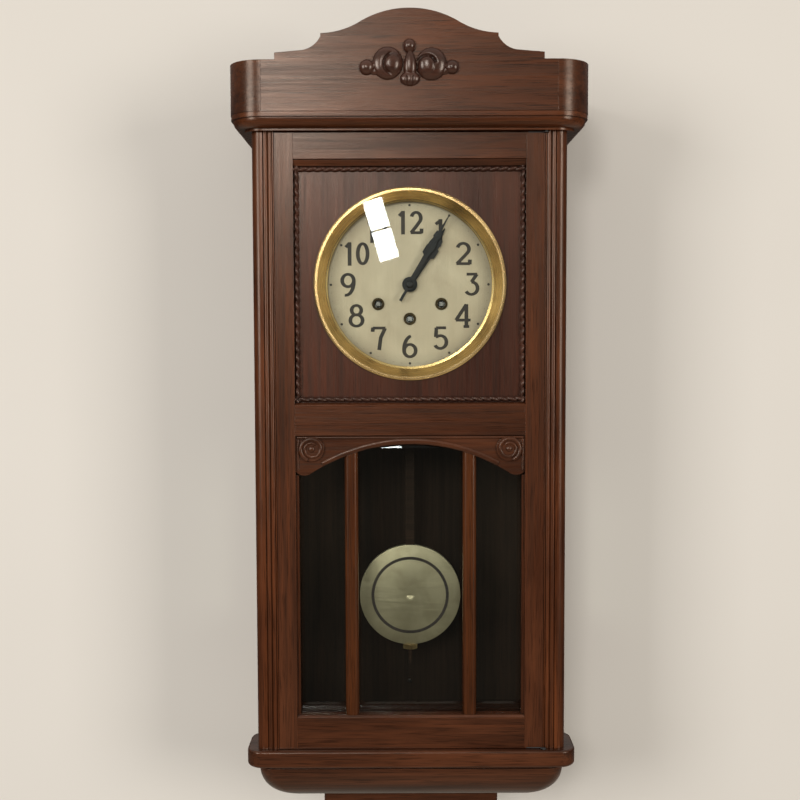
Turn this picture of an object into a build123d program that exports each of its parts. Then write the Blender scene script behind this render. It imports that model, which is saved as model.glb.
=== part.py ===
from build123d import *
import os
from math import cos, pi, radians, sin, sqrt

# Pendulum wall clock in an oak case, with a hinged door over the dial and the pendulum.
#
# Millimetres. +X is to the right as the clock is seen, the front faces -Y and +Z is up.
# The back stands against the wall at Y = 0, and the origin is the middle of the hanging hole.
# Heights are measured from the dial centre, and up() turns them into Z.

os.makedirs("parts", exist_ok=True)

# ---- Driving dimensions ------------------------------------------------------------------
DIAL_Z = -115.0            # dial centre, below the hanging hole
BEZEL_R = 100.0            # outer radius of the brass bezel
CASE_HALF = 163.0          # half the width of the case
CASE_TOP, CASE_FOOT = 156.0, -491.0
BOARD_T = 12.0             # case sides, back and top
DOOR_FRONT, DOOR_BACK = -170.0, -148.0
DOOR_HALF = 139.5
DOOR_TOP, DOOR_FOOT = 155.0, -490.5
STILE_IN = 120.0           # inner edge of the door stiles
POST_IN = 140.0            # inner edge of the fixed front posts
CROWN_HALF, CROWN_FRONT, CROWN_CORNER = 185.0, -190.0, 35.0
CROWN_FOOT, CROWN_TOP = 173.0, 224.3

# Door front, from the top down
TOP_RAIL_FOOT = 121.0
ROPE_W, ROPE_T = 6.0, 5.5
PANEL_FRONT, PANEL_T = -165.0, 8.0
MID_RAIL_TOP, MID_RAIL_FOOT = -123.5, -157.4
BOTTOM_RAIL_TOP = -455.0
ARCH_CROWN, ARCH_FOOT, ARCH_HALF = -166.6, -198.0, 105.0
SCROLL_X, SCROLL_H, SCROLL_R = 103.0, -171.5, 13.0
MUNTIN_X, MUNTIN_W = 62.0, 14.0
GLASS_FRONT, GLASS_T = -157.0, 5.0
GLASS_BEVEL, GLASS_SINK = 11.0, 1.8    # width and depth of the bevel round each pane
GLASS_TOP = -161.0

# Hinge pins of the door: one vertical axis just in front of the right-hand post
HINGE_X, HINGE_Y, HINGE_PIN_R = 140.25, -172.4, 1.5
RUNNING = 0.05             # radial clearance of a pivot in its hole

# Movement
PLATE_HALF_X, PLATE_HALF_Z, PLATE_T = 62.0, 66.0, 2.0
FRONT_PLATE_Y, BACK_PLATE_Y = -137.0, -95.0      # front faces of the two plates
DIAL_R, DIAL_FRONT, DIAL_T = 92.0, -147.5, 1.5
WIND_X, WIND_H = 33.3, -20.4                     # outer winding squares
TIME_H = -36.0                                   # middle winding square
ESCAPE_H, ANCHOR_H = 34.0, 54.0
THIRD_X, THIRD_H = -17.2, 16.74
MINUTE_X, MINUTE_H = 14.14, 14.14                # intermediate wheel behind the dial
HAND_ANGLE_HOUR, HAND_ANGLE_MINUTE = 32.5, 30.0  # clockwise from twelve: five past one

# Pendulum
ROD_Y, ROD_W, ROD_T = -82.0, 10.0, 5.0
BOB_H, BOB_R, BOB_T, BOB_RIM_T = -345.0, 56.5, 16.0, 7.0


# ---- Helpers -----------------------------------------------------------------------------
def up(height):
    """Z of a point at this height above the dial centre."""
    return DIAL_Z + height


def facing(y):
    """Upright sketch plane at this Y: x to the right, y upwards, extrusion towards the front."""
    return Plane.XZ.offset(-y)


def lying(height):
    """Level sketch plane at this height: x to the right, y towards the wall."""
    return Plane.XY.offset(up(height))


def across(x):
    """Upright sketch plane across the clock at this X: x towards the wall, y upwards."""
    return Plane.YZ.offset(x)


def block(x0, x1, y0, y1, h0, h1, mode=Mode.ADD):
    """A square-cut board in the part being made, given by its extents (heights from the dial)."""
    with Locations(((x0 + x1) / 2, (y0 + y1) / 2, up((h0 + h1) / 2))):
        Box(abs(x1 - x0), abs(y1 - y0), abs(h1 - h0), mode=mode)


def bar(radius, y0, y1, x=0.0, height=0.0, mode=Mode.ADD):
    """A round bar or hole along Y, in the part being made."""
    with Locations(Location((x, (y0 + y1) / 2, up(height)), (90, 0, 0))):
        Cylinder(radius, abs(y1 - y0), mode=mode)


def wall_plan(half, front, corner):
    """Plan of a moulding that runs back to the wall, with rounded front corners."""
    with Locations((0, front / 2)):
        Rectangle(2 * half, -front)
    fillet(vertices().group_by(Axis.Y)[0], corner)


def toothed(teeth, tip, depth):
    """A wheel with straight-flanked teeth."""
    step = 2 * pi / teeth
    outline = []
    for tooth in range(teeth):
        for share, radius in ((-0.32, tip - depth), (-0.13, tip), (0.13, tip), (0.32, tip - depth)):
            turn = (tooth + share) * step
            outline.append((radius * cos(turn), radius * sin(turn)))
    Polygon(*outline, align=None)


def crossed_wheel(teeth, tip, y0, y1, x, height, crossings=5):
    """A toothed wheel with round crossings, in the part being made."""
    plane = Plane(origin=(x, y0, up(height)), x_dir=(1, 0, 0), z_dir=(0, 1, 0))
    with BuildSketch(plane) as wheel:
        toothed(teeth, tip, min(1.6, 0.2 * tip))
        if crossings:
            with PolarLocations(0.58 * tip, crossings):
                Circle(0.22 * tip, mode=Mode.SUBTRACT)
    extrude(wheel.sketch, amount=y1 - y0)


def save(piece, label):
    """Label a finished piece and write its STEP file."""
    piece.part.label = label
    export_step(piece.part, f"parts/{label}.step")


# ---- Case: back, sides, windows, posts, top ----------------------------------------------
HANGER_W, HANGER_H, HANGER_T = 30.0, 50.0, 2.0
HANGER_MID = 5.0                       # middle of the plate, above the hanging hole
HOOK_R, SLOT_R, SLOT_RISE = 5.0, 2.5, 14.0
SCREW_R, SCREW_HEAD_R, SCREW_L = 1.6, 3.2, 9.0
SCREW_ZS = (HANGER_MID - 19.0, HANGER_MID + 19.0)
POCKET_R, POCKET_DEPTH = 8.0, 9.0
FIXING_R, FIXING_H = 2.5, -466.0

with BuildPart() as backboard:
    block(-CASE_HALF + BOARD_T, CASE_HALF - BOARD_T, -BOARD_T, 0, CASE_FOOT, CASE_TOP)
    with BuildSketch(facing(0)):
        with Locations((0, HANGER_MID)):
            Rectangle(HANGER_W, HANGER_H)
    extrude(amount=HANGER_T, mode=Mode.SUBTRACT)
    with BuildSketch(facing(0)):
        with Locations((0, SLOT_RISE / 2)):
            SlotCenterToCenter(SLOT_RISE, 2 * POCKET_R, rotation=90)
    extrude(amount=POCKET_DEPTH, mode=Mode.SUBTRACT)
    for screw_z in SCREW_ZS:
        bar(SCREW_R, -SCREW_L, 0, 0, screw_z - DIAL_Z, mode=Mode.SUBTRACT)
    bar(FIXING_R, -BOARD_T, 0, 0, FIXING_H, mode=Mode.SUBTRACT)
save(backboard, "backboard")

with BuildPart() as hanger_plate:
    with BuildSketch(facing(0)):
        with Locations((0, HANGER_MID)):
            RectangleRounded(HANGER_W - 0.4, HANGER_H - 0.4, 3)
        Circle(HOOK_R, mode=Mode.SUBTRACT)
        with Locations((0, SLOT_RISE / 2)):
            SlotCenterToCenter(SLOT_RISE, 2 * SLOT_R, rotation=90, mode=Mode.SUBTRACT)
    extrude(amount=HANGER_T)
    for screw_z in SCREW_ZS:
        with Locations(Location((0, 0, screw_z), (-90, 0, 0))):
            CounterSinkHole(SCREW_R, SCREW_HEAD_R, HANGER_T, 90)
save(hanger_plate, "hanger_plate")

with BuildPart() as hanger_screws:
    for screw_z in SCREW_ZS:
        bar(SCREW_R, -SCREW_L, 0, 0, screw_z - DIAL_Z)
        with Locations(Location((0, -(SCREW_HEAD_R - SCREW_R) / 2, screw_z), (-90, 0, 0))):
            Cone(SCREW_R, SCREW_HEAD_R, SCREW_HEAD_R - SCREW_R)
save(hanger_screws, "hanger_screws")

WINDOW_Y0, WINDOW_Y1 = -118.0, -40.0
WINDOW_FOOT, WINDOW_TOP = -375.0, 40.0
REBATE, PANE_T = 5.0, 3.0
SIDE_IN = CASE_HALF - BOARD_T

for hand, side in (("left", -1), ("right", 1)):
    with BuildPart() as side_panel:
        block(side * SIDE_IN, side * CASE_HALF, DOOR_BACK, 0, CASE_FOOT, CASE_TOP)
        block(side * SIDE_IN, side * CASE_HALF, WINDOW_Y0, WINDOW_Y1, WINDOW_FOOT, WINDOW_TOP,
              mode=Mode.SUBTRACT)
        block(side * SIDE_IN, side * (SIDE_IN + REBATE), WINDOW_Y0 - REBATE, WINDOW_Y1 + REBATE,
              WINDOW_FOOT - REBATE, WINDOW_TOP + REBATE, mode=Mode.SUBTRACT)
    save(side_panel, f"side_panel_{hand}")

    with BuildPart() as side_glass:
        block(side * (SIDE_IN + REBATE - PANE_T), side * (SIDE_IN + REBATE),
              WINDOW_Y0 - REBATE + 0.5, WINDOW_Y1 + REBATE - 0.5,
              WINDOW_FOOT - REBATE + 0.5, WINDOW_TOP + REBATE - 0.5)
    save(side_glass, f"side_glass_{hand}")

REED_R = 2.6                           # two half-round reeds beside a rounded corner
REED_START, REED_BED = 141.0, -167.6
ROUND_START, ROUND_R = 153.5, 9.5


def post_profile(side):
    """Plan of a front post: flat edge, two reeds and a rounded outer corner."""
    reed_2 = REED_START + 2 * REED_R
    reed_end = REED_START + 4 * REED_R
    corner = ROUND_R * (1 - cos(radians(45)))
    with BuildLine() as plan:
        Polyline((side * POST_IN, DOOR_BACK), (side * POST_IN, DOOR_FRONT),
                 (side * REED_START, DOOR_FRONT), (side * REED_START, REED_BED))
        ThreePointArc((side * REED_START, REED_BED),
                      (side * (REED_START + REED_R), REED_BED - REED_R),
                      (side * reed_2, REED_BED))
        ThreePointArc((side * reed_2, REED_BED),
                      (side * (reed_2 + REED_R), REED_BED - REED_R),
                      (side * reed_end, REED_BED))
        Polyline((side * reed_end, REED_BED), (side * reed_end, DOOR_FRONT),
                 (side * ROUND_START, DOOR_FRONT))
        ThreePointArc((side * ROUND_START, DOOR_FRONT),
                      (side * (CASE_HALF - corner), DOOR_FRONT + corner),
                      (side * CASE_HALF, DOOR_FRONT + ROUND_R))
        Polyline((side * CASE_HALF, DOOR_FRONT + ROUND_R), (side * CASE_HALF, DOOR_BACK),
                 (side * POST_IN, DOOR_BACK))
    make_face(plan.edges())


for hand, side in (("left", -1), ("right", 1)):
    with BuildPart() as front_post:
        with BuildSketch(lying(CASE_FOOT)):
            post_profile(side)
        extrude(amount=CASE_TOP - CASE_FOOT)
    save(front_post, f"front_post_{hand}")

with BuildPart() as top_board:
    block(-SIDE_IN, SIDE_IN, DOOR_BACK, -BOARD_T, CASE_TOP - BOARD_T, CASE_TOP)
save(top_board, "top_board")

# ---- Crown: cornice, curved frieze, shaped crest and its carving -------------------------
BED_IN, OVOLO_IN, FILLET_IN = 14.0, 2.5, 0.4      # how far each layer lies inside the crown
OVOLO_FOOT, OVOLO_TOP, OVOLO_R = 158.5, 168.0, 8.5
CROWN_IN, CROWN_BACK_OF_FRONT = 150.0, -145.0
PIN_UP = 5.0                           # how far the door's top pin enters the cornice


def front_edges(edges):
    """The edges that do not lie against the wall."""
    return edges.filter_by(lambda edge: edge.center().Y < -1)


with BuildPart() as cornice_moulding:
    with BuildSketch(lying(OVOLO_FOOT)):
        wall_plan(CROWN_HALF - OVOLO_IN, CROWN_FRONT + OVOLO_IN, CROWN_CORNER - OVOLO_IN)
    extrude(amount=OVOLO_TOP - OVOLO_FOOT)
    fillet(front_edges(cornice_moulding.edges().group_by(Axis.Z)[0]), OVOLO_R)
    for layer_foot, layer_top, inset in ((CASE_TOP, OVOLO_FOOT, BED_IN),
                                         (OVOLO_TOP, CROWN_FOOT, FILLET_IN)):
        with BuildSketch(lying(layer_foot)):
            wall_plan(CROWN_HALF - inset, CROWN_FRONT + inset, CROWN_CORNER - inset)
        extrude(amount=layer_top - layer_foot)
    block(-CROWN_IN, CROWN_IN, CROWN_BACK_OF_FRONT, 0, CASE_TOP, CROWN_FOOT, mode=Mode.SUBTRACT)
    with Locations((HINGE_X, HINGE_Y, up(CASE_TOP + PIN_UP / 2))):
        Cylinder(HINGE_PIN_R + RUNNING, PIN_UP, mode=Mode.SUBTRACT)
save(cornice_moulding, "cornice_moulding")

FRIEZE_T, CREST_T = 16.0, 10.0
CREST_HALF = 136.0                     # half the shaped part that stands above the frieze

with BuildPart() as gallery_board:
    with BuildSketch(lying(CROWN_FOOT)):
        wall_plan(CROWN_HALF, CROWN_FRONT, CROWN_CORNER)
    extrude(amount=CROWN_TOP - CROWN_FOOT)
    with BuildSketch(lying(CROWN_FOOT)):
        wall_plan(CROWN_HALF - FRIEZE_T, CROWN_FRONT + FRIEZE_T, CROWN_CORNER - FRIEZE_T)
    extrude(amount=CROWN_TOP - CROWN_FOOT, mode=Mode.SUBTRACT)
    block(-CROWN_IN, CROWN_IN, CROWN_FRONT, CROWN_FRONT + CREST_T, CROWN_FOOT, CROWN_TOP,
          mode=Mode.SUBTRACT)
save(gallery_board, "gallery_board")

with BuildPart() as crest_panel:
    with BuildSketch(facing(CROWN_FRONT + CREST_T)):
        with BuildLine():
            ThreePointArc((0, up(274.8)), (26, up(271.4)), (48, up(262.4)))
            ThreePointArc((48, up(262.4)), (66, up(254.0)), (86.5, up(250.2)))
            Polyline((86.5, up(250.2)), (89.5, up(250.0)), (89.5, up(247.0)))
            ThreePointArc((89.5, up(247.0)), (96.5, up(238.4)), (108, up(233.4)))
            Polyline((108, up(233.4)), (CREST_HALF, up(231.0)), (CREST_HALF, up(CROWN_TOP)),
                     (CROWN_IN, up(CROWN_TOP)), (CROWN_IN, up(CROWN_FOOT)), (0, up(CROWN_FOOT)))
            mirror(about=Plane.YZ)
        make_face()
    extrude(amount=CREST_T)
save(crest_panel, "crest_panel")

# Carving: (x, height, radius) of the beads and leaf lobes, all on one thin ground
CARVING_LOBES = ((-22, 220, 15.0), (22, 220, 15.0), (0, 206, 9.0), (0, 218, 8.0), (0, 228, 6.0))
CARVING_BEADS = ((-43, 216, 7.5), (43, 216, 7.5), (0, 237, 6.5))
CARVING_GROUND, CARVING_RELIEF = 3.0, 8.0

with BuildPart() as crest_carving:
    with BuildSketch(facing(CROWN_FRONT)):
        for lobe_x, lobe_h, lobe_r in CARVING_LOBES + CARVING_BEADS:
            with Locations((lobe_x, up(lobe_h))):
                Circle(lobe_r)
    extrude(amount=CARVING_GROUND)
    for lobe_x, lobe_h, lobe_r in CARVING_LOBES + CARVING_BEADS:
        with Locations(Location((lobe_x, CROWN_FRONT - CARVING_RELIEF / 2, up(lobe_h)), (90, 0, 0))):
            Cone(lobe_r - 1, 0.55 * lobe_r, CARVING_RELIEF)
save(crest_carving, "crest_carving")

# ---- Base: moulding, round belly and console ---------------------------------------------
BASE_HALF, BASE_FRONT, BASE_CORNER = 174.2, -178.0, 18.0
RETURN_BACK = -113.0                   # the moulding returns only this far along the sides
BASE_SOFT = 2.5                        # rounding of its edges
FASCIA_FOOT, NECK_FOOT, BELLY_FOOT, CONSOLE_FOOT = -509.0, -512.0, -549.5, -573.0
PIN_DOWN = 6.0
BELLY_HALF, BELLY_FRONT = 162.2, -172.0
NECK_IN = 2.0
BELLY_DROP, BELLY_IN = NECK_FOOT - BELLY_FOOT, 34.0
CONSOLE_HALF, CONSOLE_FRONT = 96.0, -118.0

with BuildPart() as base_moulding:
    with BuildSketch(lying(FASCIA_FOOT)):
        with Locations((0, (BASE_FRONT + RETURN_BACK) / 2)):
            RectangleRounded(2 * BASE_HALF, RETURN_BACK - BASE_FRONT, BASE_CORNER)
    extrude(amount=CASE_FOOT - FASCIA_FOOT)
    fillet(base_moulding.edges().group_by(Axis.Z)[-1], BASE_SOFT)
    fillet(base_moulding.edges().group_by(Axis.Z)[0], BASE_SOFT)
    block(-CASE_HALF, CASE_HALF, (BASE_FRONT + RETURN_BACK) / 2, 0, FASCIA_FOOT, CASE_FOOT)
    with Locations((HINGE_X, HINGE_Y, up(CASE_FOOT - PIN_DOWN / 2))):
        Cylinder(HINGE_PIN_R + RUNNING, PIN_DOWN, mode=Mode.SUBTRACT)
save(base_moulding, "base_moulding")

with BuildPart() as base_belly:
    with BuildSketch(lying(NECK_FOOT)):
        wall_plan(BELLY_HALF - NECK_IN, BELLY_FRONT + NECK_IN, BASE_CORNER)
    extrude(amount=FASCIA_FOOT - NECK_FOOT)
    for turn in (0, 30, 60, 90):
        drawn_in = BELLY_IN * (1 - cos(radians(turn)))
        with BuildSketch(lying(NECK_FOOT - BELLY_DROP * sin(radians(turn)))):
            wall_plan(BELLY_HALF - drawn_in, BELLY_FRONT + drawn_in, BASE_CORNER)
    loft()
save(base_belly, "base_belly")

with BuildPart() as base_console:
    with BuildSketch(lying(BELLY_FOOT)):
        wall_plan(CONSOLE_HALF, CONSOLE_FRONT, 4)
    extrude(amount=CONSOLE_FOOT - BELLY_FOOT)
    fillet(front_edges(base_console.edges().group_by(Axis.Z)[0]), 3.5)
save(base_console, "base_console")

# ---- Door frame --------------------------------------------------------------------------
PIVOT_T = 1.0                          # brass pivot plates let into the door's top and foot
PIVOT_X0, PIVOT_X1, PIVOT_Y1 = 122.0, 137.0, -156.0
LIP_IN, LIP_FRONT = 117.0, -166.0      # small bead that frames the glass

for hand, side in (("left", -1), ("right", 1)):
    with BuildPart() as door_stile:
        block(side * STILE_IN, side * DOOR_HALF, DOOR_FRONT, DOOR_BACK, DOOR_FOOT, DOOR_TOP)
        block(side * LIP_IN, side * STILE_IN, LIP_FRONT, GLASS_FRONT, BOTTOM_RAIL_TOP,
              MID_RAIL_FOOT - 42)
        if side > 0:
            for h0, h1 in ((DOOR_TOP - PIVOT_T, DOOR_TOP), (DOOR_FOOT, DOOR_FOOT + PIVOT_T)):
                block(PIVOT_X0, PIVOT_X1, DOOR_FRONT, PIVOT_Y1, h0, h1, mode=Mode.SUBTRACT)
                block(PIVOT_X1, DOOR_HALF, DOOR_FRONT, DOOR_FRONT + 6, h0, h1, mode=Mode.SUBTRACT)
    save(door_stile, f"door_stile_{hand}")

with BuildPart() as door_pivots:
    for h0, outward, pin in ((DOOR_TOP - PIVOT_T, 1, PIN_UP), (DOOR_FOOT, -1, PIN_DOWN - 1)):
        block(PIVOT_X0, PIVOT_X1, DOOR_FRONT, PIVOT_Y1, h0, h0 + PIVOT_T)
        block(PIVOT_X1, DOOR_HALF, HINGE_Y, DOOR_FRONT + 6, h0, h0 + PIVOT_T)
        with Locations((HINGE_X, HINGE_Y, up(h0 + PIVOT_T / 2))):
            Cylinder(HINGE_PIN_R + 0.6, PIVOT_T)
        with Locations((HINGE_X, HINGE_Y, up(h0 + PIVOT_T / 2 + outward * (PIVOT_T + pin) / 2))):
            Cylinder(HINGE_PIN_R, pin)
save(door_pivots, "door_pivots")

with BuildPart() as door_top_rail:
    with BuildSketch(across(-STILE_IN)):
        with BuildLine():
            Polyline((DOOR_BACK, up(TOP_RAIL_FOOT)), (DOOR_BACK, up(DOOR_TOP)),
                     (DOOR_FRONT, up(DOOR_TOP)), (DOOR_FRONT, up(128.2)),
                     (DOOR_FRONT + 1.6, up(127.8)), (DOOR_FRONT + 0.6, up(127.0)),
                     (DOOR_FRONT + 2.2, up(TOP_RAIL_FOOT)), close=True)
        make_face()
    extrude(amount=2 * STILE_IN)
save(door_top_rail, "door_top_rail")

with BuildPart() as door_middle_rail:
    with BuildSketch(across(-STILE_IN)):
        with BuildLine():
            Polyline((DOOR_BACK, up(MID_RAIL_FOOT)), (DOOR_BACK, up(MID_RAIL_TOP)),
                     (DOOR_FRONT + 2.5, up(MID_RAIL_TOP)), (DOOR_FRONT, up(MID_RAIL_TOP - 2)),
                     (DOOR_FRONT, up(MID_RAIL_FOOT)), close=True)
        make_face()
    extrude(amount=2 * STILE_IN)
save(door_middle_rail, "door_middle_rail")

with BuildPart() as door_bottom_rail:
    block(-STILE_IN, STILE_IN, DOOR_FRONT, DOOR_BACK, DOOR_FOOT, BOTTOM_RAIL_TOP)
    chamfer(door_bottom_rail.edges().filter_by(Axis.X).group_by(Axis.Z)[-1].sort_by(Axis.Y)[0], 2)
save(door_bottom_rail, "door_bottom_rail")

# ---- Dial panel, rope moulding, bezel and dial glass -------------------------------------
PANEL_HOLE_R = BEZEL_R - 1.8

with BuildPart() as dial_panel:
    block(-STILE_IN, STILE_IN, PANEL_FRONT, PANEL_FRONT + PANEL_T, MID_RAIL_TOP, TOP_RAIL_FOOT)
    bar(PANEL_HOLE_R, PANEL_FRONT, PANEL_FRONT + PANEL_T, mode=Mode.SUBTRACT)
save(dial_panel, "dial_panel")

ROPE_TOP, ROPE_FOOT = TOP_RAIL_FOOT, -122.6

with BuildPart() as rope_moulding:
    rope_mid, rope_tall = up((ROPE_TOP + ROPE_FOOT) / 2), ROPE_TOP - ROPE_FOOT
    with BuildSketch(facing(PANEL_FRONT)):
        with Locations((0, rope_mid)):
            Rectangle(2 * STILE_IN, rope_tall)
            Rectangle(2 * (STILE_IN - ROPE_W), rope_tall - 2 * ROPE_W, mode=Mode.SUBTRACT)
    extrude(amount=ROPE_T)
    chamfer(rope_moulding.faces().sort_by(Axis.Y)[0].edges(), 2)
save(rope_moulding, "rope_moulding")

# Section of the bezel, (radius, Y): flange on the panel, seat for the glass, sloping inner wall
BEZEL_SECTION = ((BEZEL_R, -165), (BEZEL_R, -167), (98.6, -168), (96.2, -168), (96.2, -166.7),
                 (97.6, -166.7), (97.6, -164.3), (96.4, -164.3), (88.6, -153.2),
                 (86.2, -152.6), (86.2, -151), (89.8, -151), (98, -162.6), (98, -165))
DIAL_GLASS_R, DIAL_GLASS_FRONT, DIAL_GLASS_BACK = 97.4, -166.6, -164.4

with BuildPart() as dial_bezel:
    with BuildSketch(lying(0)):
        with BuildLine():
            Polyline(*BEZEL_SECTION, close=True)
        make_face()
    revolve(axis=Axis((0, 0, DIAL_Z), (0, 1, 0)))
save(dial_bezel, "dial_bezel")

with BuildPart() as dial_glass:
    bar(DIAL_GLASS_R, DIAL_GLASS_FRONT, DIAL_GLASS_BACK)
save(dial_glass, "dial_glass")

# ---- Lower door: carved arch, glazing bars and bevelled panes ----------------------------
SPANDREL_BACK, SPANDREL_T, SPANDREL_HALF = -158.0, 10.0, STILE_IN


def spandrel_outline():
    """Board under the middle rail with an arched lower edge that curls up at both ends."""
    with BuildLine() as board:
        Polyline((-SPANDREL_HALF, up(-195)), (-SPANDREL_HALF, up(MID_RAIL_FOOT)),
                 (SPANDREL_HALF, up(MID_RAIL_FOOT)), (SPANDREL_HALF, up(-195)))
        ThreePointArc((SPANDREL_HALF, up(-195)), (113, up(-199.4)), (ARCH_HALF, up(ARCH_FOOT)))
        ThreePointArc((ARCH_HALF, up(ARCH_FOOT)), (0, up(ARCH_CROWN)), (-ARCH_HALF, up(ARCH_FOOT)))
        ThreePointArc((-ARCH_HALF, up(ARCH_FOOT)), (-113, up(-199.4)), (-SPANDREL_HALF, up(-195)))
    make_face(board.edges())


with BuildPart() as spandrel_board:
    with BuildSketch(facing(SPANDREL_BACK)):
        spandrel_outline()
    extrude(amount=SPANDREL_T)
    for side in (-1, 1):
        bar(SCROLL_R, SPANDREL_BACK - SPANDREL_T - 2, SPANDREL_BACK, side * SCROLL_X, SCROLL_H)
save(spandrel_board, "spandrel_board")

TONGUE_W, MUNTIN_FRONT = 8.0, -168.0

with BuildPart() as muntins:
    for side in (-1, 1):
        with BuildSketch(lying(BOTTOM_RAIL_TOP)):
            with Locations((side * MUNTIN_X, (MUNTIN_FRONT + GLASS_FRONT) / 2)):
                Rectangle(MUNTIN_W, GLASS_FRONT - MUNTIN_FRONT)
            fillet(vertices().group_by(Axis.Y)[0], 4.5)
            with Locations((side * MUNTIN_X, GLASS_FRONT + GLASS_T / 2)):
                Rectangle(TONGUE_W, GLASS_T)
        extrude(amount=MID_RAIL_FOOT - BOTTOM_RAIL_TOP)
    with BuildSketch(facing(SPANDREL_BACK)):
        spandrel_outline()
    extrude(amount=SPANDREL_T, mode=Mode.SUBTRACT)
save(muntins, "muntins")

tongue_edge = TONGUE_W / 2 + 0.3
PANES = (("left", -STILE_IN + 0.3, -MUNTIN_X - tongue_edge),
         ("centre", -MUNTIN_X + tongue_edge, MUNTIN_X - tongue_edge),
         ("right", MUNTIN_X + tongue_edge, STILE_IN - 0.3))
for place, x0, x1 in PANES:
    pane_tall = GLASS_TOP - BOTTOM_RAIL_TOP
    pane_middle = ((x0 + x1) / 2, up(GLASS_TOP - pane_tall / 2))
    with BuildPart() as pane:
        block(x0, x1, GLASS_FRONT + GLASS_SINK, GLASS_FRONT + GLASS_T, BOTTOM_RAIL_TOP, GLASS_TOP)
        for y, inset in ((GLASS_FRONT + GLASS_SINK, 0), (GLASS_FRONT, GLASS_BEVEL)):
            with BuildSketch(facing(y)):
                with Locations(pane_middle):
                    Rectangle(x1 - x0 - 2 * inset, pane_tall - 2 * inset)
        loft()
    save(pane, f"glass_{place}")

# ---- Dial, winding grommets and hands ----------------------------------------------------
FOOT_AT, FOOT_R = 42.0, 2.5
GROMMET_R, GROMMET_FLANGE_R, GROMMET_BORE_R = 5.0, 6.5, 4.1
WINDING = (("strike", -WIND_X, WIND_H), ("time", 0.0, TIME_H), ("chime", WIND_X, WIND_H))
PIPE_R, CENTRE_R = 3.6, 2.0
DIAL_BACK = DIAL_FRONT + DIAL_T

with BuildPart() as dial_plate:
    bar(DIAL_R, DIAL_FRONT, DIAL_BACK)
    for foot_x in (-FOOT_AT, FOOT_AT):
        for foot_h in (-FOOT_AT, FOOT_AT):
            bar(FOOT_R, DIAL_BACK, FRONT_PLATE_Y, foot_x, foot_h)
    bar(PIPE_R + 1.4, DIAL_FRONT, DIAL_BACK, mode=Mode.SUBTRACT)
    for train, wind_x, wind_h in WINDING:
        bar(GROMMET_R, DIAL_FRONT, DIAL_BACK, wind_x, wind_h, mode=Mode.SUBTRACT)
save(dial_plate, "dial_plate")

with BuildPart() as winding_grommets:
    for train, wind_x, wind_h in WINDING:
        bar(GROMMET_R, DIAL_FRONT, DIAL_BACK + 0.5, wind_x, wind_h)
        bar(GROMMET_FLANGE_R, DIAL_FRONT - 0.9, DIAL_FRONT, wind_x, wind_h)
    for train, wind_x, wind_h in WINDING:
        bar(GROMMET_BORE_R, DIAL_FRONT - 2, DIAL_BACK + 2, wind_x, wind_h, mode=Mode.SUBTRACT)
save(winding_grommets, "winding_grommets")

HOUR_Y, MINUTE_Y, HAND_T = -150.2, -153.4, 1.2   # front faces are HAND_T nearer the glass


def hand_plane(y, angle):
    """Sketch plane of a hand: its y axis points along the hand, clockwise from twelve."""
    turn = radians(angle)
    return Plane(origin=(0, y, DIAL_Z), x_dir=(cos(turn), 0, -sin(turn)), z_dir=(0, -1, 0))


def stepped_hand(stations, boss_r, bore_r, tail=0.0):
    """Outline of a hand: a boss with a bar and a stepped spade given as (along, half width)."""
    edge = [(half, along) for along, half in stations]
    Polygon(*edge, *[(-x, y) for x, y in reversed(edge)], align=None)
    Circle(boss_r)
    if tail:
        with Locations((0, -tail / 2)):
            Rectangle(3.0, tail)
    Circle(bore_r, mode=Mode.SUBTRACT)


HOUR_STATIONS = ((5, 3.2), (34, 4.0), (36, 7.2), (46, 7.2), (46, 5.4), (50, 5.4), (50, 6.4),
                 (57, 5.0), (57, 2.6), (69, 0.5))
MINUTE_STATIONS = ((5, 2.2), (40, 2.9), (42, 4.4), (50, 4.4), (50, 3.2), (56, 3.2), (56, 4.2),
                   (63, 3.2), (63, 1.6), (82, 0.4))

with BuildPart() as hour_hand:
    with BuildSketch(hand_plane(HOUR_Y, HAND_ANGLE_HOUR)):
        stepped_hand(HOUR_STATIONS, 8.0, PIPE_R)
    extrude(amount=HAND_T)
save(hour_hand, "hour_hand")

with BuildPart() as minute_hand:
    with BuildSketch(hand_plane(MINUTE_Y, HAND_ANGLE_MINUTE)):
        stepped_hand(MINUTE_STATIONS, 6.0, CENTRE_R, tail=20.0)
    extrude(amount=HAND_T)
save(minute_hand, "minute_hand")

NUT_R, NUT_T, NUT_ROUND = 4.0, 2.8, 1.8
CENTRE_TIP = MINUTE_Y - HAND_T - 1.6             # front end of the centre arbor, in the nut

with BuildPart() as hand_nut:
    bar(NUT_R, MINUTE_Y - HAND_T - NUT_T, MINUTE_Y - HAND_T)
    fillet(hand_nut.faces().sort_by(Axis.Y)[0].edges(), NUT_ROUND)
    bar(CENTRE_R, CENTRE_TIP, MINUTE_Y - HAND_T, mode=Mode.SUBTRACT)
save(hand_nut, "hand_nut")

# ---- Movement plates and pillars ---------------------------------------------------------
PILLAR_X, PILLAR_H, PILLAR_R, PILLAR_TENON_R = 54.0, 58.0, 4.0, 2.2
ARBOR_R, PIVOT_R, CENTRE_ARBOR_R = 1.5, 1.0, 2.5
WIND_R, WIND_TAIL_R, SQUARE = 3.2, 2.5, 4.3
FRONT_BACK = FRONT_PLATE_Y + PLATE_T             # back face of the front plate
BACK_BACK = BACK_PLATE_Y + PLATE_T               # back face of the back plate
LUG_X, LUG_Y, LUG_H = 40.0, -56.0, 44.0          # lugs that carry the hammer arbor
HAMMER_Y, HAMMER_R = -62.0, 2.0
CRUTCH_R = 2.0

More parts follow.
